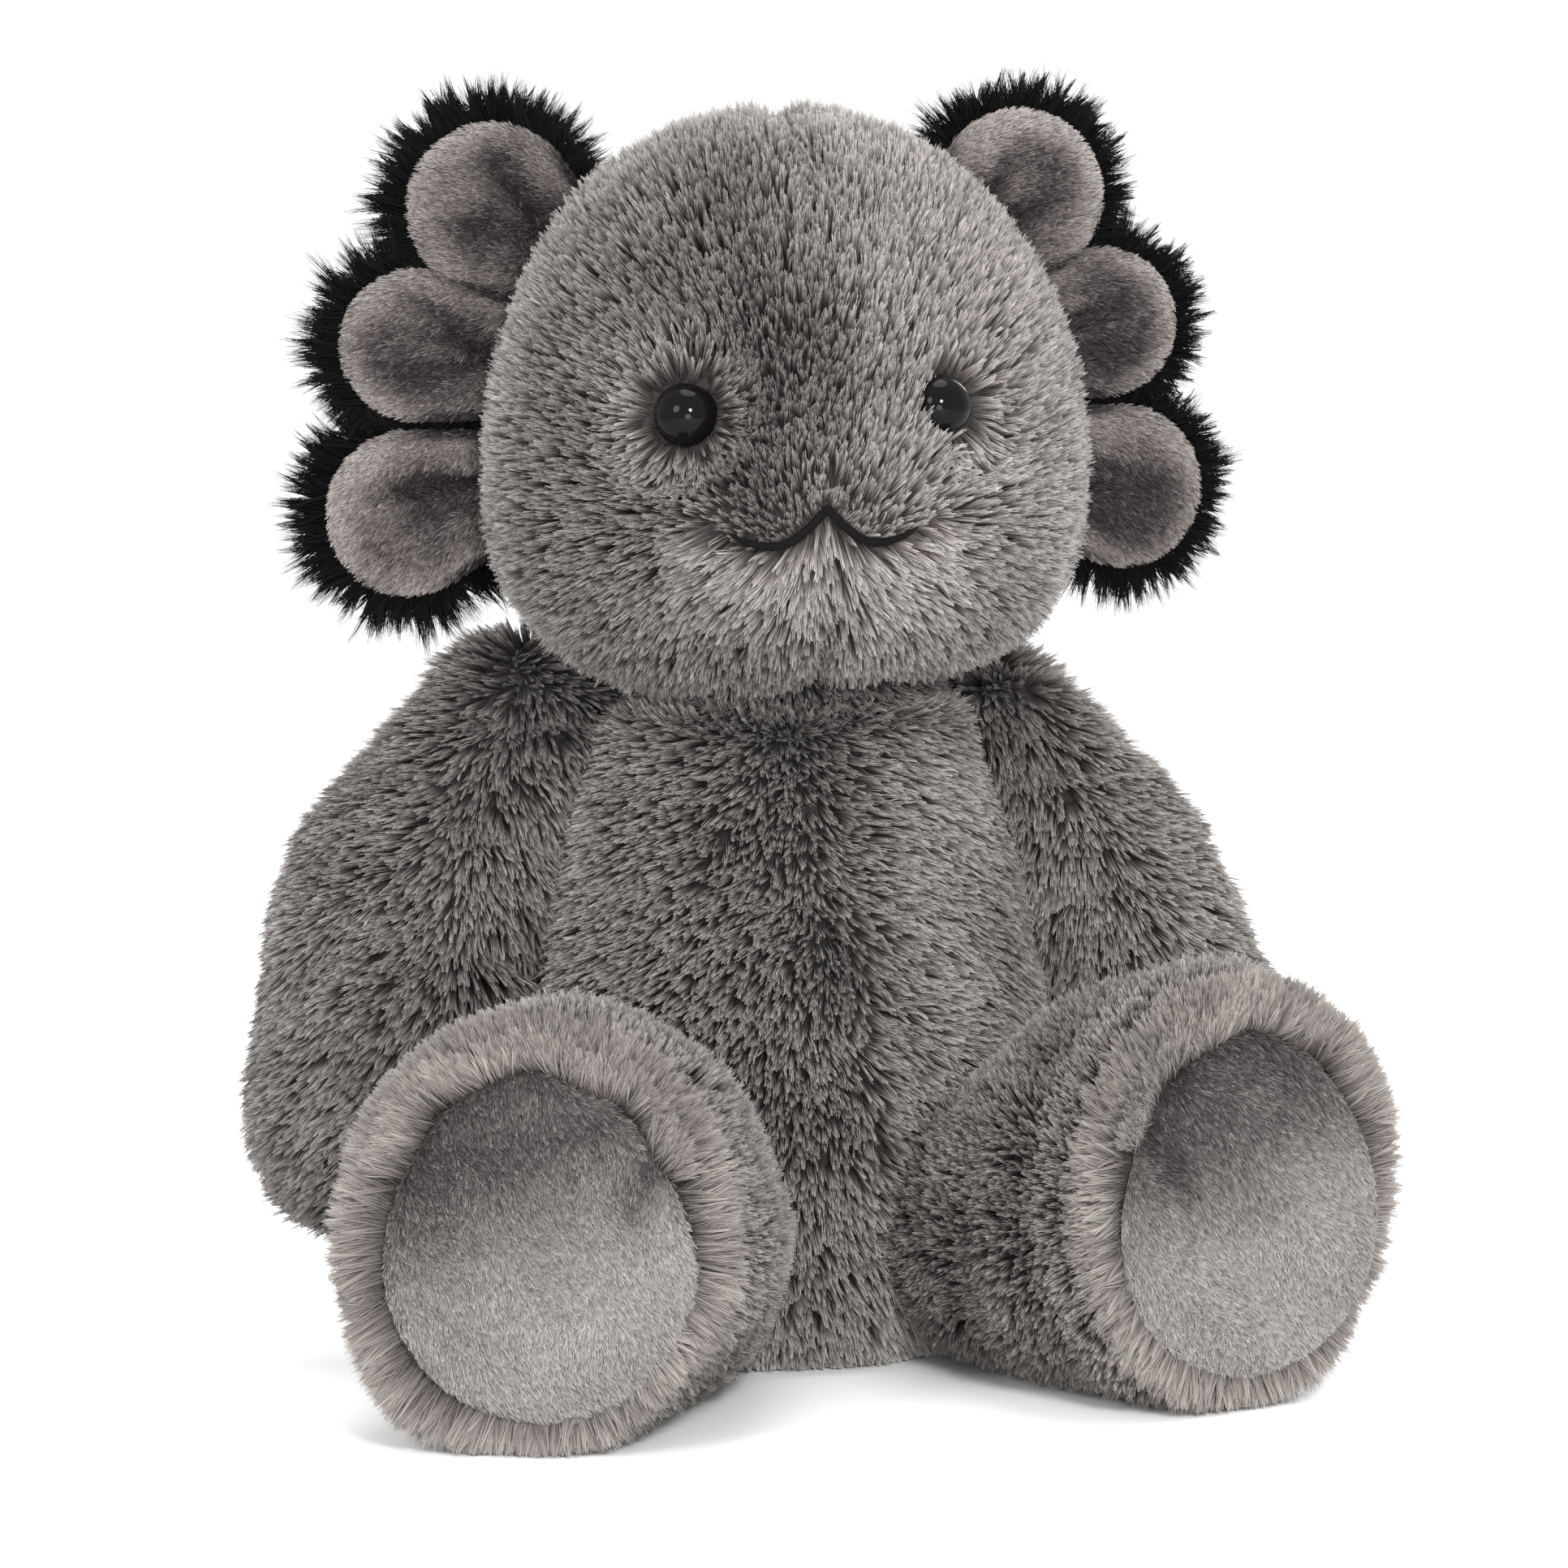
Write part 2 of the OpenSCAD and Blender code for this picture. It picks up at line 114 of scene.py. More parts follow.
def hair_material(name, dark, light, roughness=0.7, sheen=0.1, specular=0.2):
    """Colours along a hair from its root (V 0) to its tip (V 1), and between a dark and a light lock (U)."""
    m, n, l, s = material(name, roughness, sheen, specular=specular)
    uv = n.new("ShaderNodeUVMap")
    uv.uv_map = "OFBake"
    split = n.new("ShaderNodeSeparateXYZ")
    l.new(uv.outputs["UV"], split.inputs[0])
    a, b = ramp(n, dark), ramp(n, light)
    l.new(split.outputs["Y"], a.inputs[0])
    l.new(split.outputs["Y"], b.inputs[0])
    mix = n.new("ShaderNodeMix")
    mix.data_type = "RGBA"
    l.new(split.outputs["X"], mix.inputs["Factor"])
    l.new(a.outputs["Color"], mix.inputs["A"])
    l.new(b.outputs["Color"], mix.inputs["B"])
    l.new(mix.outputs["Result"], s.inputs["Base Color"])
    return m


def cloth_material(name, deep, pale, scale, sheen, shaded=0.0, roughness=0.85):
    """Short-napped cloth: soft patches of nap lying one way or the other, with fine fibres over them.
    shaded is how much of the tone comes from the mesh's own shade, and not from the patches."""
    m, n, l, s = material(name, roughness, sheen, (0.95, 0.9, 0.88, 1), 0.15)
    place = n.new("ShaderNodeTexCoord")
    patches = n.new("ShaderNodeTexNoise")
    patches.inputs["Scale"].default_value = scale
    patches.inputs["Detail"].default_value = 5
    patches.inputs["Roughness"].default_value = 0.55
    fibres = n.new("ShaderNodeTexNoise")
    fibres.inputs["Scale"].default_value = 1500
    fibres.inputs["Detail"].default_value = 3
    fibres.inputs["Roughness"].default_value = 0.7
    l.new(place.outputs["Object"], patches.inputs["Vector"])
    l.new(place.outputs["Object"], fibres.inputs["Vector"])
    shade = n.new("ShaderNodeAttribute")
    shade.attribute_name = "shade"
    mix = n.new("ShaderNodeMix")
    mix.inputs["Factor"].default_value = shaded
    l.new(patches.outputs["Fac"], mix.inputs["A"])
    l.new(shade.outputs["Fac"], mix.inputs["B"])
    add = n.new("ShaderNodeMath")
    add.operation = "MULTIPLY_ADD"
    add.inputs[1].default_value = 0.55
    l.new(fibres.outputs["Fac"], add.inputs[0])
    l.new(mix.outputs["Result"], add.inputs[2])
    r = ramp(n, [(0.36, deep), (1.0, pale)])
    l.new(add.outputs[0], r.inputs[0])
    l.new(r.outputs["Color"], s.inputs["Base Color"])
    return m


grey_fur = hair_material(
    "grey fur",
    [(0.0, (0.004, 0.003, 0.003)), (0.5, (0.026, 0.020, 0.020)), (0.82, (0.096, 0.085, 0.083)),
     (1.0, (0.215, 0.204, 0.197))],
    [(0.0, (0.015, 0.012, 0.011)), (0.45, (0.095, 0.083, 0.078)), (0.82, (0.29, 0.268, 0.252)),
     (1.0, (0.47, 0.443, 0.418))],
)
pale_fur = hair_material(
    "pale foot fur",
    [(0.0, (0.018, 0.015, 0.014)), (0.4, (0.070, 0.061, 0.057)), (1.0, (0.19, 0.172, 0.161))],
    [(0.0, (0.045, 0.038, 0.035)), (0.4, (0.18, 0.160, 0.145)), (1.0, (0.42, 0.385, 0.352))],
)
black_fur = hair_material(
    "black gill fur",
    [(0.0, (0.001, 0.001, 0.001)), (0.6, (0.0015, 0.0015, 0.0015)), (1.0, (0.002, 0.002, 0.002))],
    [(0.0, (0.002, 0.002, 0.002)), (0.6, (0.004, 0.0035, 0.0035)), (1.0, (0.012, 0.011, 0.010))],
    roughness=0.75,
    sheen=0.0,
    specular=0.06,
)
gill_nap = hair_material(
    "gill velour nap",
    [(0.0, (0.012, 0.009, 0.011)), (1.0, (0.030, 0.023, 0.027))],
    [(0.0, (0.15, 0.130, 0.125)), (1.0, (0.38, 0.345, 0.325))],
    sheen=0.0,
    specular=0.1,
)
pad_nap = hair_material(
    "sole velour nap",
    [(0.0, (0.016, 0.013, 0.015)), (1.0, (0.040, 0.034, 0.038))],
    [(0.0, (0.17, 0.156, 0.146)), (1.0, (0.37, 0.350, 0.325))],
    sheen=0.0,
    specular=0.1,
)
backing = cloth_material("grey backing cloth", (0.012, 0.010, 0.010), (0.035, 0.030, 0.029), 60, 0.0)
black_backing = cloth_material("black backing cloth", (0.004, 0.004, 0.004), (0.012, 0.012, 0.012), 60, 0.0)
velour = cloth_material("gill velour", (0.010, 0.008, 0.009), (0.13, 0.112, 0.107), 70, 0.0, 0.8)
pad_velour = cloth_material("sole velour", (0.014, 0.011, 0.013), (0.22, 0.203, 0.188), 34, 0.0, 0.8)


# ---------------------------------------------------------------- meshes
def build(name, points, faces, look, uv=None):
    """A mesh piece from points in millimetres and faces that all have the same number of corners."""
    name = name.replace(" ", "_")
    mesh = bpy.data.meshes.new(name)
    faces = np.asarray(faces, np.int32)
    corners = faces.shape[1]
    mesh.vertices.add(len(points))
    mesh.vertices.foreach_set("co", (np.asarray(points, np.float32) * MM).ravel())
    mesh.loops.add(faces.size)
    mesh.loops.foreach_set("vertex_index", faces.ravel())
    mesh.polygons.add(len(faces))
    mesh.polygons.foreach_set("loop_start", np.arange(0, faces.size, corners, dtype=np.int32))
    mesh.update(calc_edges=True)
    mesh.polygons.foreach_set("use_smooth", np.ones(len(faces), bool))
    if uv is not None:
        layer = mesh.uv_layers.new(name="OFBake")
        layer.data.foreach_set("uv", np.asarray(uv, np.float32).ravel())
    mesh.materials.append(look)
    piece = bpy.data.objects.new(name, mesh)
    bpy.context.scene.collection.objects.link(piece)
    return piece


def grid_faces(rows, columns, closed=True):
    """Quads of a grid of points whose rows run round the shape."""
    i, j = np.meshgrid(np.arange(rows - 1), np.arange(columns if closed else columns - 1), indexing="ij")
    i, j = i.ravel(), j.ravel()
    k = (j + 1) % columns
    return np.stack([i * columns + j, i * columns + k, (i + 1) * columns + k, (i + 1) * columns + j], 1)


class Surface:
    """A soft surface: its points in millimetres, its quads, and smooth normals."""

    def __init__(self, rings, closed=True):
        rings = np.asarray(rings, float)
        self.rows, self.columns = rings.shape[:2]
        self.points = rings.reshape(-1, 3)
        self.quads = grid_faces(self.rows, self.columns, closed)
        self.find_normals()

    def find_normals(self):
        p, q = self.points, self.quads
        face = np.cross(p[q[:, 2]] - p[q[:, 0]], p[q[:, 3]] - p[q[:, 1]])
        self.areas = np.linalg.norm(face, axis=1) / 2
        self.normals = np.zeros_like(p)
        for c in range(4):
            np.add.at(self.normals, q[:, c], face)
        self.normals = unit(self.normals)

    def face(self, way):
        """Turns the quads over if most normals point against `way`."""
        if (self.normals * way).sum() < 0:
            self.quads = self.quads[:, ::-1]
            self.find_normals()

    def push(self, amount):
        self.points = self.points + self.normals * np.asarray(amount)[:, None]
        self.find_normals()

    def scatter(self, per_mm2, shade=None):
        """Random places spread evenly over the surface, and the normals and the shade there."""
        share = per_mm2(self.points[self.quads].mean(1)) if callable(per_mm2) else per_mm2
        weight = self.areas * share
        count = int(weight.sum())
        pick = rng.choice(len(weight), count, p=weight / weight.sum())
        u, v = rng.random((2, count, 1))
        corners, normals = self.points[self.quads[pick]], self.normals[self.quads[pick]]

        def between(c):
            return ((1 - u) * (1 - v) * c[:, 0] + u * (1 - v) * c[:, 1] + u * v * c[:, 2]
                    + (1 - u) * v * c[:, 3])

        places, normals = between(corners), unit(between(normals))
        if shade is None:
            return places, normals
        return places, normals, between(np.ravel(shade)[self.quads[pick]][..., None])[:, 0]

    def piece(self, name, look):
        return build(name, self.points, self.quads, look)


MOST_FACES = 96000
# Locks to a square millimetre of long fur and of velour
FUR_DENSITY, NAP_DENSITY = 0.74, 3.2
# The darkest and the lightest tone of a lock
TONES = (0.03, 0.97)
# How the short nap of velour differs from long fur
NAP = {"per_lock": 3, "width": 0.26, "spread": 0.3, "pinch": 1, "loose": 0.05}


def fur(name, look, places, normals, lean, length, lift, tone, per_lock=9, width=0.29, spread=0.42, pinch=0.5,
        loose=0.12, stray=0.16, uneven=0.1, bend=0, floor=0.4):
    """Locks of hair as tapered ribbons. Each lock leans along `lean` in the surface, and its hairs meet near
    its tip. lift is how far it stands up, from 0 to 1, and tone is from dark to light. bend makes each hair
    rise before it leans."""
    count = len(places)
    lift = np.broadcast_to(lift, count)[:, None]
    length = np.broadcast_to(length, count)[:, None] * rng.uniform(0.82, 1.12, (count, 1))
    tone = np.broadcast_to(tone, count) + rng.normal(0, 0.14, count)
    lean = along(lean + stray * rng.normal(0, 1, (count, 3)), normals)
    way = unit(normals * lift + lean * (1 - lift) + 0.45 * stray * rng.normal(0, 1, (count, 3)))

    def hairs(values):
        return np.repeat(values, per_lock, axis=0)

    total = count * per_lock
    n, w = hairs(normals), hairs(way)
    offset = rng.normal(0, spread, (total, 3))
    offset -= (offset * n).sum(-1, keepdims=True) * n
    size = hairs(length) * rng.uniform(1 - uneven, 1 + uneven, (total, 1))
    root = hairs(places) + offset
    tip = hairs(places) + w * size + offset * pinch + rng.normal(0, loose, (total, 3))
    side = unit(np.cross(w, n + 0.6 * rng.normal(0, 1, (total, 3))))
    half = width * rng.uniform(0.75, 1.2, (total, 1)) / 2
    if bend:
        middle = (root + tip) / 2 + n * size * bend
        points = np.stack([root - side * half, root + side * half, middle - side * half * 0.85,
                           middle + side * half * 0.85, tip - side * half * 0.2, tip + side * half * 0.2], 1)
        corners = [[0, 1, 3, 2], [2, 3, 5, 4]]
        shape = [[0, 0.03], [0.03, 0.03], [0.03, 0.5], [0, 0.5],
                 [0, 0.5], [0.03, 0.5], [0.03, 0.98], [0, 0.98]]
    else:
        points = np.stack([root - side * half, root + side * half,
                           tip - side * half * 0.4, tip + side * half * 0.4], 1)
        corners = [[0, 1, 3, 2]]
        shape = [[0, 0.03], [0.03, 0.03], [0.03, 0.98], [0, 0.98]]
    points[..., 2] = np.maximum(points[..., 2], floor + 0.3 * rng.random((total, 1)))
    each, quads = points.shape[1], len(corners)
    first = np.arange(total)[:, None] * each
    faces = np.concatenate([first + c for c in corners], 1).reshape(-1, 4)
    u = np.clip(hairs(tone[:, None]) + rng.normal(0, 0.07, (total, 1)), 0.02, 0.95)
    uv = np.tile(np.array(shape), (total, 1, 1))
    uv[..., 0] += u
    pieces = []
    parts = max(1, math.ceil(total * quads / MOST_FACES))
    edge = np.linspace(0, total, parts + 1).astype(int)
    for k in range(parts):
        a, b = edge[k], edge[k + 1]
        title = name if parts == 1 else f"{name} {k + 1}"
        own_faces = faces[a * quads:b * quads] - a * each
        pieces.append(build(title, points[a:b].reshape(-1, 3), own_faces, look, uv[a:b]))
    return pieces


def paint(piece, shade):
    """Writes the tone of each point, from 0 to 1, where cloth_material reads it. On the gills and the sole
    pads this tone holds painted shade and painted sheen as well as the cloth's own tone.
    """
    layer = piece.data.attributes.new("shade", "FLOAT", "POINT")
    layer.data.foreach_set("value", np.clip(shade, 0, 1).ravel().astype(np.float32))


def attach(pieces, body, nodes=()):
    for p in pieces if isinstance(pieces, list) else [pieces]:
        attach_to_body(p, body)
        if nodes:
            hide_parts(*nodes)


def egg(radius, waist, up, down, up_fullness, down_fullness, depth, centre, rows, columns,
        top=math.inf, bottom=-math.inf):
    """A closed egg shape standing on Z, as rings from its bottom to its top."""
    a = np.linspace(-89.9, 89.9, rows) * math.pi / 180
    low = a < 0
    r = radius * np.where(low, np.cos(a) ** down_fullness, np.cos(a) ** up_fullness)
    z = waist + np.where(low, down, up) * np.sin(a)
    z = np.clip(z, bottom, top)
    turn = np.linspace(0, 2 * math.pi, columns, endpoint=False)
    x = centre[0] + r[:, None] * np.cos(turn)
    y = centre[1] + depth * r[:, None] * np.sin(turn)
    return np.stack([x, y, np.broadcast_to(z[:, None], x.shape)], -1)


def limb(spine, radii, rows=60, columns=72, flat=(1.0, 1.0), front=(0, -1, 0)):
    """A round-ended limb along a bent spine. radii go with the spine's points."""
    spine, radii = np.asarray(spine, float), np.asarray(radii, float)
    t = np.linspace(0, len(spine) - 1, 200)
    line = np.stack([np.interp(t, np.arange(len(spine)), spine[:, k]) for k in range(3)], 1)
    thick = np.interp(t, np.arange(len(spine)), radii)
    for _ in range(900):
        line[1:-1] = (line[:-2] + 2 * line[1:-1] + line[2:]) / 4
        thick[1:-1] = (thick[:-2] + 2 * thick[1:-1] + thick[2:]) / 4
    step = np.linalg.norm(np.diff(line, axis=0), axis=1)
    far = np.concatenate([[0], np.cumsum(step)])
    first, last = thick[0], thick[-1]
    a = np.concatenate([np.linspace(-first, -0.02 * first, 16), np.linspace(0, far[-1], rows),
                        far[-1] + np.linspace(0.02 * last, last, 16)])
    centre = np.stack([np.interp(a, far, line[:, k]) for k in range(3)], 1)
    head, tail = unit(line[0] - line[1]), unit(line[-1] - line[-2])
    centre += np.where(a < 0, -a, 0)[:, None] * head + np.where(a > far[-1], a - far[-1], 0)[:, None] * tail
    r = np.interp(a, far, thick)
    r = np.where(a < 0, first * np.sqrt(np.maximum(1 - (a / first) ** 2, 1e-4)), r)
    over = (a - far[-1]) / last
    r = np.where(a > far[-1], last * np.sqrt(np.maximum(1 - over**2, 1e-4)), r)
    way = unit(np.gradient(centre, axis=0))
    across = unit(np.cross(way, np.array(front, float)))
    ahead = np.cross(across, way)
    turn = np.linspace(0, 2 * math.pi, columns, endpoint=False)[None, :, None]
    ring = flat[0] * np.cos(turn) * across[:, None] + flat[1] * np.sin(turn) * -ahead[:, None]
    return centre[:, None] + r[:, None, None] * ring


# ---------------------------------------------------------------- places from the CAD's boxes, in millimetres
def span(*nodes):
    boxes = [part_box(n) for n in nodes]
    low = np.min([np.array(b[0]) for b in boxes], 0) / MM
    high = np.max([np.array(b[1]) for b in boxes], 0) / MM
    return low, high


neck_low, neck_high = span("neck_stuffing")
NECK = np.array([(neck_low[0] + neck_high[0]) / 2, (neck_low[1] + neck_high[1]) / 2, neck_high[2] - 22])
CHEEK_Z = NECK[2] + 28
PILE = 4.2


# ---------------------------------------------------------------- head
FACE = NECK + [-2.4, 0, 0]
HEAD_RADIUS, HEAD_RISE, HEAD_DROP, HEAD_DEPTH = 69.5 - PILE, 84.5 - PILE, 48 - PILE, 0.9
# How full the head is above and below its widest level: 1 is an ellipse, and less is fuller
HEAD_TOP, HEAD_JOWLS = 0.9, 0.5
EYE_OUT, EYE_UP, EYE_RADIUS, EYE_DOME = 29.4, 44, 7.2, 6.4
HEAD_DENSITY = 0.78
EYES = [FACE + [side * EYE_OUT, -48.5, EYE_UP] for side in (1, -1)]
hx, hy = NECK[0], NECK[1]

MOUTH_HALF_WIDTH = 21.5
MOUTH_RISE, MOUTH_DROP, MOUTH_CORNER, MOUTH_CUP = 22, 8.2, 3.2, 0.55


def mouth_line(t):
    """Height of the mouth, from its peak at t = 0, down into a cup and up to a corner at t = 1 or -1."""
    u = np.abs(t)
    cup = MOUTH_DROP * np.sin(math.pi / 2 * np.minimum(1, u / MOUTH_CUP))
    corner = MOUTH_CORNER * np.maximum(0, (u - MOUTH_CUP) / (1 - MOUTH_CUP)) ** 2
    return NECK[2] + MOUTH_RISE - cup + corner


def muzzle(x, z):
    """How far the muzzle stands out of the head's egg."""
    return 3.4 * bump(x - FACE[0], 30) * bump(z - NECK[2] - 20, 17)


head = Surface(egg(HEAD_RADIUS, CHEEK_Z, HEAD_RISE, HEAD_DROP, HEAD_TOP, HEAD_JOWLS, HEAD_DEPTH, NECK,
                   96, 180))
p = head.points
front = smooth(5, -25, p[:, 1] - hy)
seam = bump(p[:, 0] - hx, 2.6) * (smooth(248, 262, p[:, 2]) + front * smooth(190, 180, p[:, 2]))
socket = sum(bump(np.linalg.norm(p - e, axis=1), 9) for e in EYES)
head.push(front * muzzle(p[:, 0], p[:, 2]) - 1.5 * seam - 1.6 * socket + 0.7 * waves(p, 42, 3))
skin = build("head skin", head.points, head.quads, backing)
attach(skin, "head", ("face_left", "face_right", "head_back", "head_stuffing"))


def head_fur():
    def density(q):
        return HEAD_DENSITY * (np.linalg.norm(q - NECK - [0, 0, -22], axis=1) > 15)

    q, n = head.scatter(density)
    for e in EYES:
        hidden = 6.9 - 1.8 * smooth(-1, -5, q[:, 0] - e[0]) * (e[0] > hx)
        keep = np.linalg.norm((q - e)[:, [0, 2]], axis=1) > np.where(q[:, 1] < hy, hidden, 0)
        q, n = q[keep], n[keep]
    x, z = q[:, 0] - FACE[0], q[:, 2]
    face = smooth(0, -25, q[:, 1] - hy)
    right, left = smooth(2, 14, x) * face, smooth(-2, -14, x) * face
    nearest = np.clip(x, -17, 17)
    source = np.stack([FACE[0] + 0.75 * nearest, np.full_like(x, FACE[1] - 56),
                       mouth_line(nearest / MOUTH_HALF_WIDTH)], 1)
    lean = along(q - source, n)
    lift = 0.6 + 0.14 * left - 0.15 * right
    tone = 0.40 + 0.13 * waves(q, 30, 5) - 0.15 * left + 0.07 * right
    length = 7.9 + 0.6 * waves(q, 24, 6)
    for e, covered in zip(EYES, (1, 0)):
        away = q - e
        near = smooth(22, 10, np.linalg.norm(away, axis=1)) * face
        near = near * (1 - 0.9 * covered * smooth(4, -6, away[:, 0]))
        lean = unit(lean * (1 - near[:, None]) + along(away, n) * near[:, None] * 1.4)
        lift = lift * (1 - 0.45 * near)
        tone = tone + 0.14 * near
        length = length * (1 - 0.18 * near)
    brow = face * bump(x, 17) * bump(z - 232, 26)
    tone = tone - 0.05 * brow + 0.2 * face * bump(x, 20) * bump(z - 208, 9)
    lift = lift + 0.1 * brow
    length = length * (1 - 0.15 * brow)
    t = x / MOUTH_HALF_WIDTH
    drop = z - mouth_line(np.clip(t, -1.15, 1.15))
    by_mouth = face * smooth(1.5, 1.1, np.abs(t))
    above = by_mouth * smooth(-0.5, 0.5, drop) * smooth(12, 1, drop)
    below = by_mouth * smooth(0.5, -0.5, drop) * smooth(-26, -4, drop)
    length = length * (1 - 0.62 * above) * (1 + 0.15 * below)
    lift = lift * (1 - 0.3 * above) * (1 - 0.55 * below)
    fan = along(np.stack([x * 1.3, 0 * x, -np.full_like(x, 15)], 1), n)
    lean = unit(lean * (1 - below[:, None]) + fan * below[:, None] * 1.5)
    tone = tone + 0.27 * below + 0.12 * above
    # The crown is painted lighter, which is painted light on the top of the head, and its fur stands up a
    # little more.
    crown = smooth(262, 285, z)
    tone = tone + 0.2 * crown
    lift = lift + 0.08 * crown
    # The lowest part of the face is painted darker: painted shade under the head.
    chin_shade = face * smooth(182, 170, z)
    tone = tone - 0.2 * chin_shade
    groove = bump(q[:, 0] - hx, 3.0) * (crown + face * smooth(188, 178, z))
    length = length * (1 - 0.35 * groove)
    tone = tone - 0.15 * groove
    lift, tone = np.clip(lift, 0.12, 0.9), np.clip(tone, *TONES)
    pieces = fur("head fur", grey_fur, q, n, lean, length, lift, tone)
    attach(pieces, "head")


head_fur()


def thread(name, path, radius, look, pitch=1.1):
    """A line of satin stitch: a tube with a slanted ridge for each stitch."""
    sides = 10
    step = np.linalg.norm(np.diff(path, axis=0), axis=1)
    far = np.concatenate([[0], np.cumsum(step)])
    way = unit(np.gradient(path, axis=0))
    up = unit(np.cross(way, [0.0, -1.0, 0.0]))
    ahead = np.cross(up, way)
    a = np.linspace(0, 2 * math.pi, sides, endpoint=False)
    ends = np.clip(np.minimum(far, far[-1] - far) / 9, 0.02, 1) ** 0.45
    r = radius * ends[:, None] * (0.86 + 0.2 * np.abs(np.sin(far[:, None] * math.pi / pitch + a[None] * 0.5)))
    ring = np.cos(a)[None, :, None] * up[:, None] + 0.7 * np.sin(a)[None, :, None] * ahead[:, None]
    surface = Surface(path[:, None] + r[..., None] * ring)
    return build(name, surface.points, surface.quads, look)


def head_front(x, z):
    """How far forward the head's cloth comes at x and z."""
    above = (1 - np.clip((z - CHEEK_Z) / HEAD_RISE, -1, 1) ** 2) ** (HEAD_TOP / 2)
    below = (1 - np.clip((z - CHEEK_Z) / HEAD_DROP, -1, 1) ** 2) ** (HEAD_JOWLS / 2)
    r = HEAD_RADIUS * np.where(z > CHEEK_Z, above, below)
    return hy - HEAD_DEPTH * np.sqrt(np.maximum(r**2 - (x - hx) ** 2, 1)) - muzzle(x, z)


black_thread, _, _, thread_shader = material("black thread", 0.9, specular=0.04)
stitch_noise = black_thread.node_tree.nodes.new("ShaderNodeTexNoise")
stitch_noise.inputs["Scale"].default_value = 900
stitch_ramp = ramp(black_thread.node_tree.nodes, [(0.3, (0.002, 0.002, 0.002)), (0.7, (0.009, 0.008, 0.008))])
black_thread.node_tree.links.new(stitch_noise.outputs["Fac"], stitch_ramp.inputs[0])
black_thread.node_tree.links.new(stitch_ramp.outputs["Color"], thread_shader.inputs["Base Color"])

t = np.linspace(-1, 1, 241)
mx, mz = FACE[0] + MOUTH_HALF_WIDTH * t, mouth_line(t)
mouth = thread("mouth stitching", np.stack([mx, head_front(mx, mz) - 4.3, mz], 1), 1.0, black_thread)
attach(mouth, "head", ("mouth_stitching",))


# ---------------------------------------------------------------- eyes
eye_black, eye_nodes, eye_links, eye_shader = material("eye plastic", 0.03, specular=0.10)
eye_noise = eye_nodes.new("ShaderNodeTexNoise")
eye_noise.inputs["Scale"].default_value = 300
eye_ramp = ramp(eye_nodes, [(0.35, (0.002, 0.002, 0.002)), (0.65, (0.005, 0.004, 0.004))])
eye_links.new(eye_noise.outputs["Fac"], eye_ramp.inputs[0])
eye_links.new(eye_ramp.outputs["Color"], eye_shader.inputs["Base Color"])


def eye(side, word):
    place = FACE + [side * EYE_OUT, 0, EYE_UP]
    place[1] = head_front(place[0], place[2]) - 1.6
    outward = unit(np.array([side * 0.50, -0.87, 0.10]))
    across = unit(np.cross([0, 0, 1.0], outward))
    up = np.cross(outward, across)
    a = np.linspace(0, math.pi / 2 * 0.995, 22)
    profile = [(EYE_RADIUS, -3.0)] + [(EYE_RADIUS * math.cos(x), EYE_DOME * math.sin(x)) for x in a]
    ring = np.linspace(0, 2 * math.pi, 48, endpoint=False)
    rings = np.array([[place + outward * h + r * (math.cos(b) * across + math.sin(b) * up) for b in ring]
                      for r, h in profile])
    surface = Surface(rings)
    piece = build(f"eye {word}", surface.points, surface.quads, eye_black)
    attach(piece, "head", (f"eye_{word}", f"eye_washer_{word}"))


eye(1, "left")
eye(-1, "right")


# ---------------------------------------------------------------- torso
SHOULDER, ELBOW, HAND = np.array([60.0, 16, 148]), np.array([86.0, 14, 108]), np.array([100.0, 14, 60])
HIP, FOOT = np.array([42.0, -38, 32]), np.array([78.3, -128, 47.5])
TAIL_ROOT = np.array([0.0, 44, 30])
MIRROR = np.array([-1.0, 1, 1])


def chest_seam(z):
    return 2 + 0.07 * (150 - z)


torso = Surface(egg(60 - PILE, 48, 134 - PILE, 60, 0.8, 0.49, 0.93, (0, 0), 110, 180, top=148.5, bottom=1.2))
p = torso.points
front = smooth(5, -20, p[:, 1])
groove = front * bump(p[:, 0] - chest_seam(p[:, 2]), 2.4) * smooth(72, 100, p[:, 2])
amount = -1.3 * groove + 0.9 * waves(p, 48, 9) * smooth(4, 20, p[:, 2]) * smooth(150, 135, p[:, 2])
torso.push(amount)
torso.points[:, 2] = np.maximum(torso.points[:, 2], 0.8)
skin = torso.piece("torso skin", backing)
attach(skin, "torso",
       ("belly_left", "belly_right", "back_panel", "seat_panel", "torso_stuffing", "pellet_bag"))


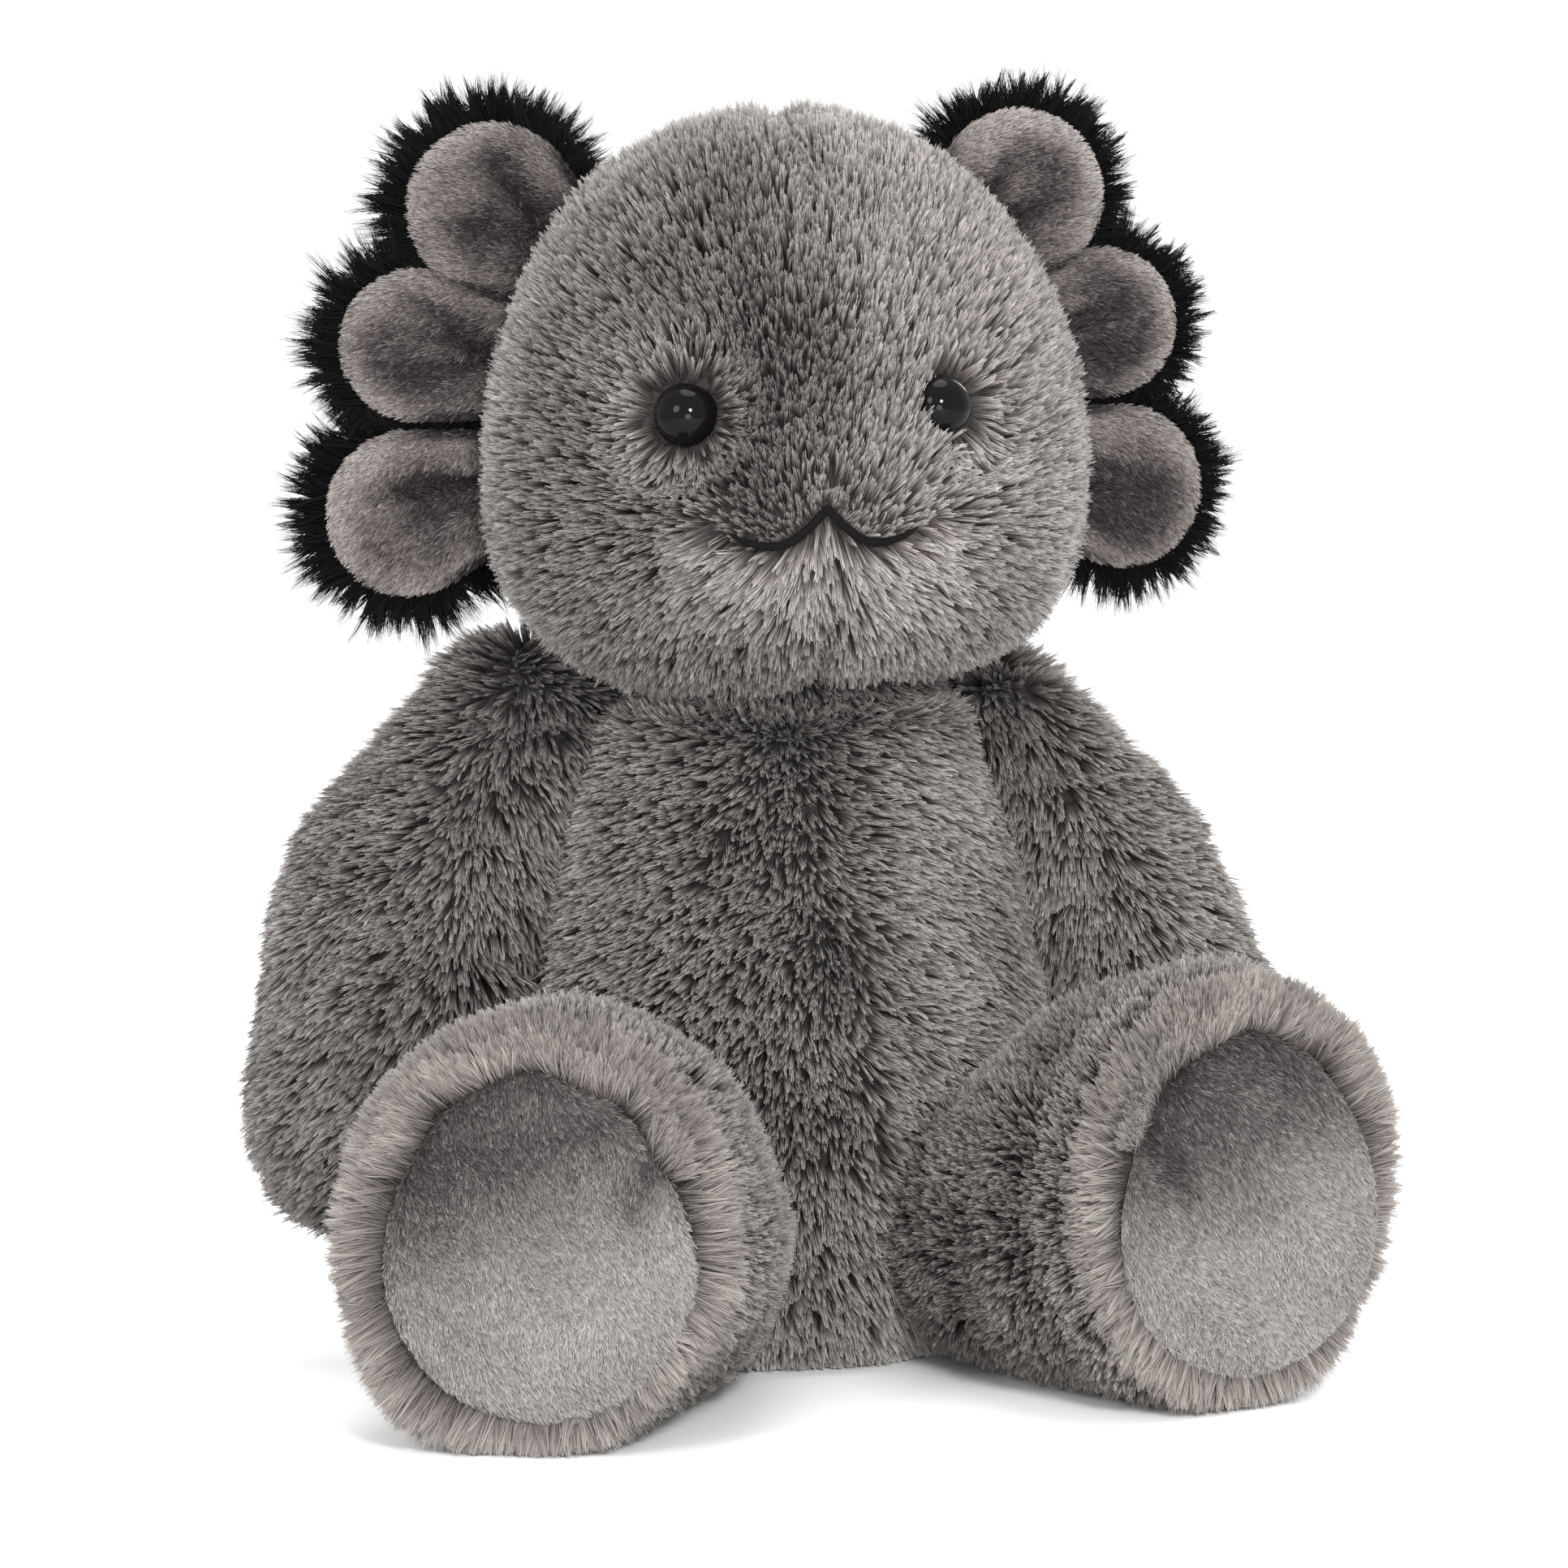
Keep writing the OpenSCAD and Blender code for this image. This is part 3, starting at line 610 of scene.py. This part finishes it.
def torso_fur():
    def density(q):
        hidden = (q[:, 2] < 3) | (np.linalg.norm(q[:, :2] - NECK[:2], axis=1) < 18) & (q[:, 2] > 140)
        for m in (1, MIRROR):
            hidden |= np.linalg.norm(q - SHOULDER * m, axis=1) < 11
            hidden |= np.linalg.norm(q - HIP * m, axis=1) < 21
        return FUR_DENSITY * ~hidden

    q, n = torso.scatter(density)
    x, z = q[:, 0] - chest_seam(q[:, 2]), q[:, 2]
    face = smooth(5, -20, q[:, 1])[:, None]
    left, right = smooth(1.5, -5, x)[:, None] * face, smooth(-1.5, 5, x)[:, None] * face
    low = smooth(62, 30, z)[:, None] * face
    down = np.array([0, 0, -1.0])
    lean = down * (1 - face) + left * [-0.2, 0, -0.75] + right * [0.8, 0, -0.5]
    lean = lean * (1 - 0.8 * low) + low * [0.3, 0, -0.9]
    lean = along(lean + 0.25 * drift(q, 34, 12), n)
    lift = 0.5 + 0.18 * left[:, 0] - 0.08 * right[:, 0] * smooth(0, 22, x) - 0.04 * low[:, 0]
    high = 1 - low[:, 0]
    # The lower belly between the legs is painted much lighter: painted light where light from below falls.
    tone = (0.42 + 0.14 * waves(q, 30, 15) + 0.24 * left[:, 0] * high + 0.01 * right[:, 0] * high
            + 0.6 * low[:, 0] * bump(x, 40))
    # The top of the chest, under the head, is painted darker: painted shade under the head.
    tone = tone - 0.22 * smooth(134, 150, z) * face[:, 0]
    length = 7.9 + 0.7 * waves(q, 24, 16)
    groove = bump(x, 1.8) * smooth(82, 105, z) * face[:, 0]
    length = length * (1 - 0.25 * groove)
    tone = tone - 0.08 * groove
    pieces = fur("torso fur", grey_fur, q, n, lean, length, lift, np.clip(tone, *TONES))
    attach(pieces, "torso")


torso_fur()

# The short collar that joins the torso to the neck inside the fur
ring = np.linspace(0, 2 * math.pi, 96, endpoint=False)
collar_shape = [(40, 146), (37, 149), (34, 152), (31, 155), (28, 159), (25, 165), (20, 169)]
collar = Surface([[[NECK[0] * smooth(146, 165, z) + r * math.cos(b),
                    NECK[1] * smooth(146, 165, z) + 0.93 * r * math.sin(b), z]
                   for b in ring] for r, z in collar_shape])
places, normals = collar.scatter(0.6)
# Its fur is darker than the fur round it: painted shade in the neck between the head and the torso.
collar_fur = fur("collar fur", grey_fur, places, normals, normals * 0 + [0, 0, -1.0], 7, 0.6, 0.25)
for piece in [collar.piece("neck collar", backing), *collar_fur]:
    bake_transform(piece)
    if piece.name == "neck_collar":
        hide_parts("neck_stuffing")


# ---------------------------------------------------------------- limbs
def near_and_far(name, look, places, normals, lean, length, lift, tone, bodies, start, end):
    """Fur of a limb: what is near its root is left loose with its transform baked in, and the rest rides on
    the limb.
    """
    a, b = np.array(start), np.array(end)
    t = ((places - a) @ (b - a)) / ((b - a) @ (b - a))
    for word, which in (("root", t < 1), ("", t >= 1)):
        pick = [v[which] if np.ndim(v) else v for v in (places, normals, lean, length, lift, tone)]
        pieces = fur(f"{name} {word}".strip(), look, *pick)
        for piece in pieces:
            if word:
                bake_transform(piece)
            else:
                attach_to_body(piece, bodies[1])


def arm(side, word):
    m = 1 if side > 0 else MIRROR
    if side > 0:
        bends, radii = ([-5, 0, -8], [-7, 0, -3], [-2, 0, 0]), (23.5, 28.0, 28.5)
    else:
        bends, radii = ([0, 0, -2], [2.5, 0, -1], [-2.5, 0, 0]), (26.0, 33.0, 31.5)
    joints = [(joint + bend) * m for joint, bend in zip((SHOULDER, ELBOW, HAND), bends)]
    surface = Surface(limb(joints, [r - PILE for r in radii]))
    surface.face(surface.points - surface.points.mean(0))
    q = surface.points
    inner = smooth(0, -14, (q[:, 0] * side - 88) + (q[:, 2] - 100) * 0.12)
    folds = bump(np.sin(q[:, 2] / 9 + q[:, 1] / 16 + side), 0.35)
    surface.push(waves(q, 36, 20 + side) - 1.6 * inner * folds)
    start, end = np.array([44 * side, 16, 146.0]), np.array([68 * side, 15, 128.0])
    skin = surface.piece(f"arm {word} skin", backing)
    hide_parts(f"arm_{word}_skin", f"arm_{word}_stuffing")
    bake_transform(skin)
    q, n = surface.scatter(FUR_DENSITY)
    keep = np.linalg.norm(q - np.array([30 * side, 16, 146]), axis=1) > 9
    q, n = q[keep], n[keep]
    z = q[:, 2]
    out = smooth(-16, 10, q[:, 0] * side - 84 + (z - 100) * 0.2)[:, None]
    lean = out * [0.75 * side, 0, -0.65] + (1 - out) * [0.15 * side, 0, -1.0]
    lean = along(lean + 0.3 * drift(q, 30, 31), n)
    hand = smooth(52, 34, z)
    lift = 0.5 - 0.1 * hand + 0.06 * waves(q, 22, 34)
    length = 8.2 + 0.8 * waves(q, 24, 35) + 2.0 * hand
    tone = (0.39 + 0.17 * waves(q, 28, 36 + side) - 0.1 * hand + 0.11 * side
            + 0.12 * (1 - out[:, 0]) * smooth(130, 100, z))
    lift, tone = np.clip(lift, 0.2, 0.9), np.clip(tone, *TONES)
    near_and_far(f"arm {word} fur", grey_fur, q, n, lean, length, lift, tone,
                 ("torso", f"arm_{word}"), start, end)


arm(1, "left")
arm(-1, "right")


# ---------------------------------------------------------------- legs and feet
LEG_WAY = unit(FOOT - HIP - [0, 0, 14])
LEG_SIDE = unit(np.cross([0, 0, 1.0], LEG_WAY))
LEG_UP = np.array([0, 0, 1.0])
LEG_LENGTH = 97.0
FOOT_TALL = 1.085


def foot_reach(angle, side):
    """How much wider than a circle each foot is at an angle from its outer side. The toy's right foot is
    pressed outwards into a corner at the floor, and its left foot is a little narrower on the outside."""
    a = (np.asarray(angle) + math.pi) % (2 * math.pi) - math.pi
    if side > 0:
        return 1 - 0.13 * bump(a + 0.35, 0.65)
    return 1 + 0.15 * bump(a + 0.82, 0.42) + 0.04 * bump(a, 0.5) - 0.10 * bump(a + 2.3, 0.42)


FOOT_RADIUS = 45 - PILE
RIM = 13.0


def leg_axes(side):
    """The middle of the hip, the way the leg points, its outer side, and the middle of its sole."""
    m = np.array([side, 1.0, 1.0])
    hip, way = HIP * m, LEG_WAY * m
    sole = hip + way * LEG_LENGTH
    sole[2] = FOOT[2]
    return hip, way, LEG_SIDE * m, sole


def leg_surface(side):
    """A leg from its round hip to its flat sole, which has a rounded rim."""
    hip_radius = 30 - PILE
    s_hip = np.sin(np.linspace(-1, 0, 14) * math.pi / 2) * hip_radius
    s_leg = np.linspace(0, LEG_LENGTH - RIM, 52)[1:]
    angle = np.linspace(0, math.pi / 2, 14)[1:]
    s = np.concatenate([s_hip, s_leg, LEG_LENGTH - RIM + RIM * np.sin(angle), np.full(14, LEG_LENGTH)])
    r_leg = hip_radius + (FOOT_RADIUS - hip_radius) * smooth(-25, LEG_LENGTH - RIM - 8, s_leg)
    r = np.concatenate([np.sqrt(np.maximum(hip_radius**2 - s_hip**2, 0.3)), r_leg,
                        FOOT_RADIUS - RIM + RIM * np.cos(angle), np.linspace(FOOT_RADIUS - RIM, 0.3, 15)[1:]])
    share = smooth(0, LEG_LENGTH - RIM, s)
    turn = np.linspace(0, 2 * math.pi, 108, endpoint=False)
    centre = HIP[None] + LEG_WAY[None] * s[:, None]
    centre[:, 2] = HIP[2] + (FOOT[2] - HIP[2]) * share
    tall = 1 + (FOOT_TALL - 1) * share
    reach = (1 + (foot_reach(turn, side)[None] - 1) * share[:, None])[..., None]
    wide = (r * (1 - 0.01 * share))[:, None, None] * np.cos(turn)[None, :, None] * LEG_SIDE
    high = (r * tall)[:, None, None] * np.sin(turn)[None, :, None] * LEG_UP
    surface = Surface((centre[:, None] + reach * (wide + high)) * np.array([side, 1.0, 1.0]))
    surface.face(surface.points - surface.points.mean(0))
    hip, way, _, _ = leg_axes(side)
    q = surface.points
    flat = smooth(LEG_LENGTH - 3, LEG_LENGTH - 0.5, (q - hip) @ way)
    surface.push(1.1 * waves(q, 40, 50 + side) * (1 - flat))
    surface.points[:, 2] = np.maximum(surface.points[:, 2], 1.2)
    return surface


def leg_fur(surface, side, word, first, last):
    """Ordinary fur, which ends behind the rim."""
    hip, way, across, _ = leg_axes(side)
    q, n = surface.scatter(FUR_DENSITY)
    s = (q - hip) @ way
    keep = (s > -14) & (s < LEG_LENGTH - 5) & (q[:, 2] > 1.6)
    q, n, s = q[keep], n[keep], s[keep]
    inner = smooth(0, -20, (q - hip - way * s[:, None]) @ across)
    lean = way * 0.6 + np.array([0, 0, 0.15])
    lean = along(lean + 0.45 * drift(q, 28, 61), n)
    rim = smooth(LEG_LENGTH - 26, LEG_LENGTH - 10, s)
    lift = 0.62 + 0.18 * rim
    # Near the hip the fur is painted darker, and the inner side a little darker: painted shade where the leg
    # meets the torso and between the legs. The fur near the rim is lighter.
    tone = 0.50 + 0.14 * waves(q, 26, 64) + 0.2 * rim - 0.1 * smooth(26, 10, s) - 0.03 * inner
    length = 7.4 + 0.7 * waves(q, 20, 65) - 1.2 * rim
    near_and_far(f"leg {word} fur", grey_fur, q, n, lean, length, lift, np.clip(tone, *TONES),
                 ("torso", f"leg_{word}"), first, last)


def foot_fringe(side, word):
    """The long pale fringe round the sole, combed outwards."""
    _, way, across, sole = leg_axes(side)
    count = 3900
    a = rng.uniform(0, 2 * math.pi, count)
    ring = rng.uniform(0, 1, count)
    r = 32.5 + 6.5 * ring
    over_rim = np.clip(r - FOOT_RADIUS + RIM, 0, RIM * 0.98)
    back = np.where(r > FOOT_RADIUS - RIM, RIM - np.sqrt(np.maximum(RIM**2 - over_rim**2, 0)), 0)
    radial = np.cos(a)[:, None] * across + np.sin(a)[:, None] * LEG_UP
    out = radial * (r * foot_reach(a, side))[:, None] * [1, 1, FOOT_TALL]
    places = sole + out - way * (back[:, None] + 0.3)
    top = smooth(0.25, 0.8, np.sin(a))
    normal = unit(way + radial * 0.2)
    lean = along(radial + 0.18 * drift(places, 15, 71), normal)
    size = 7.2 + 4.6 * (1 - ring) + 0.8 * waves(places, 12, 74)
    lift = 0.24 + 0.12 * rng.random(count) + 0.16 * top * (1 - ring)
    tone = (0.64 if side > 0 else 0.38) + 0.3 * waves(places, 15, 75) - 0.1 * top
    keep = places[:, 2] > 2.0
    pick = [v[keep] for v in (places, normal, lean, size, lift, tone)]
    pieces = fur(f"foot {word} fringe", pale_fur, *pick, width=0.3, spread=0.62, pinch=0.4,
                 stray=0.18, bend=0.06)
    attach(pieces, f"leg_{word}")


def foot_rumple(side, word):
    """The second, rumpled row over the top of the sole."""
    _, way, across, sole = leg_axes(side)
    count = 1300
    a = rng.uniform(0.12 * math.pi, 0.88 * math.pi, count)
    r = rng.uniform(32.0, 35.5, count) + np.sin(9 * a)
    radial = np.cos(a)[:, None] * across + np.sin(a)[:, None] * LEG_UP
    places = sole + radial * r[:, None] * [1, 1, FOOT_TALL] + way * 0.4
    normal = unit(way + radial * 0.1 + 0 * places)
    parting = np.where(np.sin(13 * a + side) > 0, 0.25, -0.1375)[:, None] * np.cross(way, radial)
    lean = along(radial + parting, normal)
    tone = 0.5 + 0.2 * waves(places, 14, 77)
    pieces = fur(f"foot {word} rumple", pale_fur, places, normal, lean, 8.0, 0.46, tone,
                 width=0.3, spread=0.6, bend=0.1)
    attach(pieces, f"leg_{word}")


def sole_pad(side, word):
    """The velour sole pad: an egg, narrower at the top, domed and dented."""
    _, way, across, sole = leg_axes(side)
    turn = np.linspace(0, 2 * math.pi, 160, endpoint=False)
    c, sn = np.cos(turn), np.sin(turn)
    wide = 34.0 * (1 - 0.14 * sn - 0.07 * sn**2)
    high = np.where(sn > 0, 39.0, 37.5)
    puckers = 0.5 * np.sin(22 * turn + 1.5 * np.sin(3 * turn)) + 0.3 * np.sin(37 * turn)
    f = np.linspace(0, 1, 44)[::-1, None]
    px, pz = f * wide * c, f * high * sn
    dome = 6.2 * (1 - f**2.6) ** 0.7 + 0.5
    flat = np.column_stack([px.ravel(), pz.ravel(), 0 * px.ravel()])
    lumps = waves(flat, 34, 80 + side).reshape(px.shape)
    gather = smooth(0.62, 1.0, f) * (0.9 * puckers) * smooth(1.02, 0.95, f)
    dent = (1.7 * bump((px * side + 20) * 0.8 + (pz - 8) * 0.5, 3.4) * smooth(-18, -24, px * side - pz * 0.2)
            * smooth(30, 10, np.abs(pz - 4)))
    height = dome + (0.7 * lumps + gather) * (1 - f**6) - dent
    height = height + 0.8 * smooth(0.8, 0.93, f) * smooth(1.0, 0.95, f)
    middle = sole - [0, 0, 2.2]
    pad = Surface(middle + px[..., None] * across * side + pz[..., None] * LEG_UP + height[..., None] * way)
    pad.face(way)
    # The pad is darker towards the top and paler towards the bottom. Its dents are painted darker, painted
    # shade, and its outer rim lighter, a painted sheen; the nap takes its tone from this shade.
    shade = (0.78 - 0.70 * smooth(-15, 30, pz - 0.35 * px + 9 * lumps) + 0.13 * lumps
             + 0.1 * smooth(0.9, 1.0, f) - 0.2 * dent)
    piece = pad.piece(f"sole pad {word}", pad_velour)
    paint(piece, shade)
    attach(piece, f"leg_{word}", (f"sole_pad_{word}",))
    q, n, tone = pad.scatter(NAP_DENSITY, np.clip(shade, 0, 1))
    swirl = np.stack([waves(q, 26, 84), 0 * tone, waves(q, 26, 85)], 1)
    lean = across * side * 0.5 - LEG_UP * 0.8 + 0.5 * swirl
    nap = fur(f"sole pad {word} nap", pad_nap, q, n, lean, 1.7, 0.3, tone, **NAP)
    attach(nap, f"leg_{word}")


def leg(side, word):
    hip, way, _, _ = leg_axes(side)
    first, last = hip + way * -12, hip + way * 26
    surface = leg_surface(side)
    skin = surface.piece(f"leg {word} skin", backing)
    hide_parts(f"leg_{word}_skin", f"leg_{word}_stuffing")
    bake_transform(skin)
    leg_fur(surface, side, word, first, last)
    foot_fringe(side, word)
    foot_rumple(side, word)
    sole_pad(side, word)


leg(1, "left")
leg(-1, "right")


# ---------------------------------------------------------------- tail
low, high = span("tail_skin")
tip = np.array([0, high[1] - 10, 14.0])
shape = limb([TAIL_ROOT, (TAIL_ROOT + tip) / 2 + [0, 0, 3], tip], [24 - PILE, 17, 7.5 - PILE / 2],
             flat=(0.8, 1.0), front=(0, 0, 1))
tail = Surface(shape)
tail.face(tail.points - tail.points.mean(0))
tail.push(0.6 * waves(tail.points, 30, 90))
tail.points[:, 2] = np.maximum(tail.points[:, 2], 1.2)
skin = tail.piece("tail skin", backing)
first, last = np.array([0, 40.0, 30]), np.array([0, 74.0, 27])
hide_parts("tail_skin", "tail_stuffing")
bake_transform(skin)
q, n = tail.scatter(0.7)
keep = (q[:, 1] > 44) & (q[:, 2] > 1.6)
q, n = q[keep], n[keep]
near_and_far("tail fur", grey_fur, q, n, along(n * 0 + [0, 1.0, -0.1], n), 7.5, 0.5,
             0.42 + 0.13 * waves(q, 26, 91), ("torso", "tail"), first, last)


# ---------------------------------------------------------------- gills
# Each gill: its lobe's centre from the neck line and from the cheeks, its radius, the way it points in
# degrees, and the distance from its fold line to the lobe's centre
GILLS = {"upper": (63.4, 65.8, 19.9, 37, 17.5),
         "middle": (83, 34.5, 17.5, 11, 19),
         "lower": (86.5, -5, 19, -14, 19)}
GILL_SEEDS = {"upper": 101, "middle": 202, "lower": 303}
GILL_TONES = {(1, "upper"): 0.31, (1, "middle"): 0.15, (1, "lower"): 0.20,
              (-1, "upper"): 0.17, (-1, "middle"): 0.24, (-1, "lower"): 0.32}
GILL_Y = NECK[1] + 20
GILL_CHORD = 13.5


def petal(angle, radius, fold):
    """How far a gill's edge is from its middle, at angles from the way it points."""
    a = np.abs((angle + math.pi) % (2 * math.pi) - math.pi)
    q = np.array([-fold, GILL_CHORD])
    g = np.linspace(math.pi / 2, math.pi, 2000)
    g = g[np.argmin(np.abs(q[0] * np.cos(g) + q[1] * np.sin(g) - radius))]
    tangent = radius / np.maximum(np.cos(a - g), 0.05)
    base = fold / np.maximum(-np.cos(a), 0.05)
    return np.where(a < g, radius, np.minimum(tangent, base))


def gill_front(place, r, body, side, level):
    """The velour side: a dome with three soft creases that start at the root."""
    middle, out, up, ahead, radius, fold = place
    angle = np.linspace(0, 2 * math.pi, 120, endpoint=False)
    edge = petal(angle, radius + 0.3, fold)
    f = np.linspace(0.0, 1.0, 34)[::-1, None]
    px, pz = f * edge * np.cos(angle), f * edge * np.sin(angle)
    from_base = px + fold
    crease = 0
    for _ in range(3):
        slope, shift = r.uniform(-0.42, 0.42), r.uniform(-3.5, 3.5)
        valley = bump(pz - shift - slope * from_base, 1.4 + 0.07 * from_base)
        crease = crease + r.uniform(0.7, 1.2) * valley * smooth(fold + 15, 6, from_base)
    flat = np.column_stack([px.ravel(), pz.ravel(), 0 * px.ravel()])
    lumps = waves(flat, 22, GILL_SEEDS[level] * 3 + side).reshape(px.shape)
    height = 0.4 + 5.4 * (1 - f**3.0) ** 0.75 + (0.7 * lumps - 4.2 * crease) * (1 - f**4)
    height = height * (0.35 + 0.65 * smooth(-2, 16, from_base))
    flat_places = middle + px[..., None] * out + pz[..., None] * up
    surface = Surface(flat_places + height[..., None] * ahead)
    surface.face(ahead)
    piece = surface.piece(f"{body} front", velour)
    # The rim is painted paler, a painted sheen, and the upper side lighter, painted light from above. The
    # creases are painted darker, painted shade, and so is the edge by the root, painted shade where the lobes
    # overlap.
    shade = GILL_TONES[side, level] + 0.46 * smooth(0.5, 1.0, f) + 0.1 * (pz / radius)
    shade = shade + 0.24 * lumps - 0.5 * crease
    shade = shade - 0.9 * smooth(0.82, 0.97, f) * smooth(26, 10, from_base)
    paint(piece, shade)
    attach(piece, body, (f"{body}_front",))
    # The nap takes its tone from this shade, painted sheen and painted shade included.
    q, n, tone = surface.scatter(NAP_DENSITY, np.clip(shade, 0, 1))
    nap = fur(f"{body} nap", gill_nap, q, n, out - 0.5 * up + 0 * q, 1.6, 0.3, tone, **NAP)
    attach(nap, body)
    return flat_places, f


def gill_back(flat_places, f, ahead, body):
    """The cloth under the black fur on the back."""
    thickness = 0.2 + 2.6 * (1 - f**3)[..., None] ** 0.7
    surface = Surface(flat_places - thickness * ahead)
    surface.face(-ahead)
    piece = surface.piece(f"{body} back", black_backing)
    attach(piece, body, (f"{body}_back",))
    return surface


def gill_fringe(place, r, body, side):
    """Long black locks round the edge, none of them across the root."""
    middle, out, up, ahead, radius, fold = place
    count = 340
    a = r.uniform(-1, 1, count) * (math.pi * 0.80)
    share = r.uniform(0.86, 1.01, count)
    radial = np.cos(a)[:, None] * out + np.sin(a)[:, None] * up
    depth = r.uniform(-3.4, -0.4, count)
    places = middle + radial * (petal(a, radius, fold) * share)[:, None] + depth[:, None] * ahead
    normal = np.broadcast_to(-ahead, places.shape)
    lean = unit(radial + 0.16 * r.normal(0, 1, (count, 3)))
    size = 10.2 + 1.6 * waves(places, 9, 95) - 1.6 * smooth(0.62, 0.8, np.abs(a) / math.pi)
    size = size - (1.9 if side > 0 else 0)
    lift, tone = r.uniform(-0.1, 0.22, count), r.uniform(0.1, 0.95, count)
    locks = fur(f"{body} fringe", black_fur, places, normal, lean, size, lift, tone,
                per_lock=20, width=0.22, spread=0.85, pinch=0.2, loose=0.3, uneven=0.34, bend=0.02)
    attach(locks, body)


def gill(side, word, level):
    cx, cz, radius, degrees, fold = GILLS[level]
    fold += 5
    body = f"gill_{word}_{level}"
    r = np.random.default_rng(GILL_SEEDS[level] + side)
    m = np.array([side, 1.0, 1.0])
    middle = np.array([NECK[0] - 1.3 + side * cx, GILL_Y, CHEEK_Z + cz])
    d = math.radians(degrees)
    out = np.array([math.cos(d), 0, math.sin(d)]) * m
    up = np.array([-math.sin(d), 0, math.cos(d)]) * m
    ahead = np.array([0, -1.0, 0])
    place = middle, out, up, ahead, radius, fold
    flat_places, f = gill_front(place, r, body, side, level)
    surface = gill_back(flat_places, f, ahead, body)
    gill_fringe(place, r, body, side)
    q, n = surface.scatter(0.5)
    away = along(q - (middle - out * fold), n)
    tone = r.uniform(0.1, 0.9, len(q))
    locks = fur(f"{body} back fur", black_fur, q, n, away, 9.5, 0.35, tone,
                per_lock=10, width=0.3, spread=0.8, pinch=0.3)
    attach(locks, body)


for which in GILLS:
    gill(1, "left", which)
    gill(-1, "right", which)


# ---------------------------------------------------------------- studio
def area_light(name, at, size, power):
    data = bpy.data.lights.new(name, "AREA")
    data.shape = "DISK"
    data.size = size
    data.energy = power
    lamp = bpy.data.objects.new(name, data)
    lamp.location = at
    lamp.rotation_mode = "QUATERNION"
    lamp.rotation_quaternion = (Vector((0, 0, 0.13)) - Vector(at)).to_track_quat("-Z", "Y")
    bpy.context.scene.collection.objects.link(lamp)


# Name, place and size in metres, and power in watts
area_light("key", (0.05, -1.30, 0.62), 0.25, 15)
area_light("front", (-0.15, -1.35, 0.10), 0.5, 6)
area_light("fill", (-0.95, -0.95, 0.75), 0.5, 7)
area_light("top", (0.1, -0.1, 1.5), 0.9, 10)
area_light("rim", (0.8, 0.9, 0.9), 0.8, 11)

floor_white, floor_nodes, floor_links, floor_shader = material("studio floor", 0.9, specular=0.1)
floor_noise = floor_nodes.new("ShaderNodeTexNoise")
floor_noise.inputs["Scale"].default_value = 3
floor_ramp = ramp(floor_nodes, [(0.3, (0.955, 0.955, 0.955)), (0.7, (0.975, 0.975, 0.975))])
floor_links.new(floor_noise.outputs["Fac"], floor_ramp.inputs[0])
floor_links.new(floor_ramp.outputs["Color"], floor_shader.inputs["Base Color"])
FLOOR = 6000
corners = [[-FLOOR, -FLOOR, 0], [FLOOR, -FLOOR, 0], [FLOOR, FLOOR, 0], [-FLOOR, FLOOR, 0]]
floor = build("studio floor", corners, [[0, 1, 2, 3]], floor_white)

world = bpy.data.worlds.new("studio")
bpy.context.scene.world = world
world.use_nodes = True
world.node_tree.nodes["Background"].inputs["Color"].default_value = (1, 1, 1, 1)
world.node_tree.nodes["Background"].inputs["Strength"].default_value = 1.06
bpy.context.scene.view_settings.view_transform = "Standard"

# ---------------------------------------------------------------- camera
camera_data = bpy.data.cameras.new("camera")
camera_data.lens = 125
camera_data.sensor_width = 36
camera_data.dof.use_dof = False
camera = bpy.data.objects.new("camera", camera_data)
bpy.context.scene.collection.objects.link(camera)
bpy.context.scene.camera = camera
AZIMUTH, ELEVATION, ROLL = math.radians(-9.5), math.radians(4.2), math.radians(2.0)
DISTANCE = 1.30
TARGET = Vector((0, 0, 0.133))
level = math.cos(ELEVATION)
back = Vector((math.sin(AZIMUTH) * level, -math.cos(AZIMUTH) * level, math.sin(ELEVATION)))
camera.rotation_mode = "QUATERNION"
camera.location = TARGET + back * DISTANCE
camera.rotation_quaternion = (-back).to_track_quat("-Z", "Y") @ Quaternion((0, 0, 1), -ROLL)
camera_data.clip_start, camera_data.clip_end = 0.05, 50
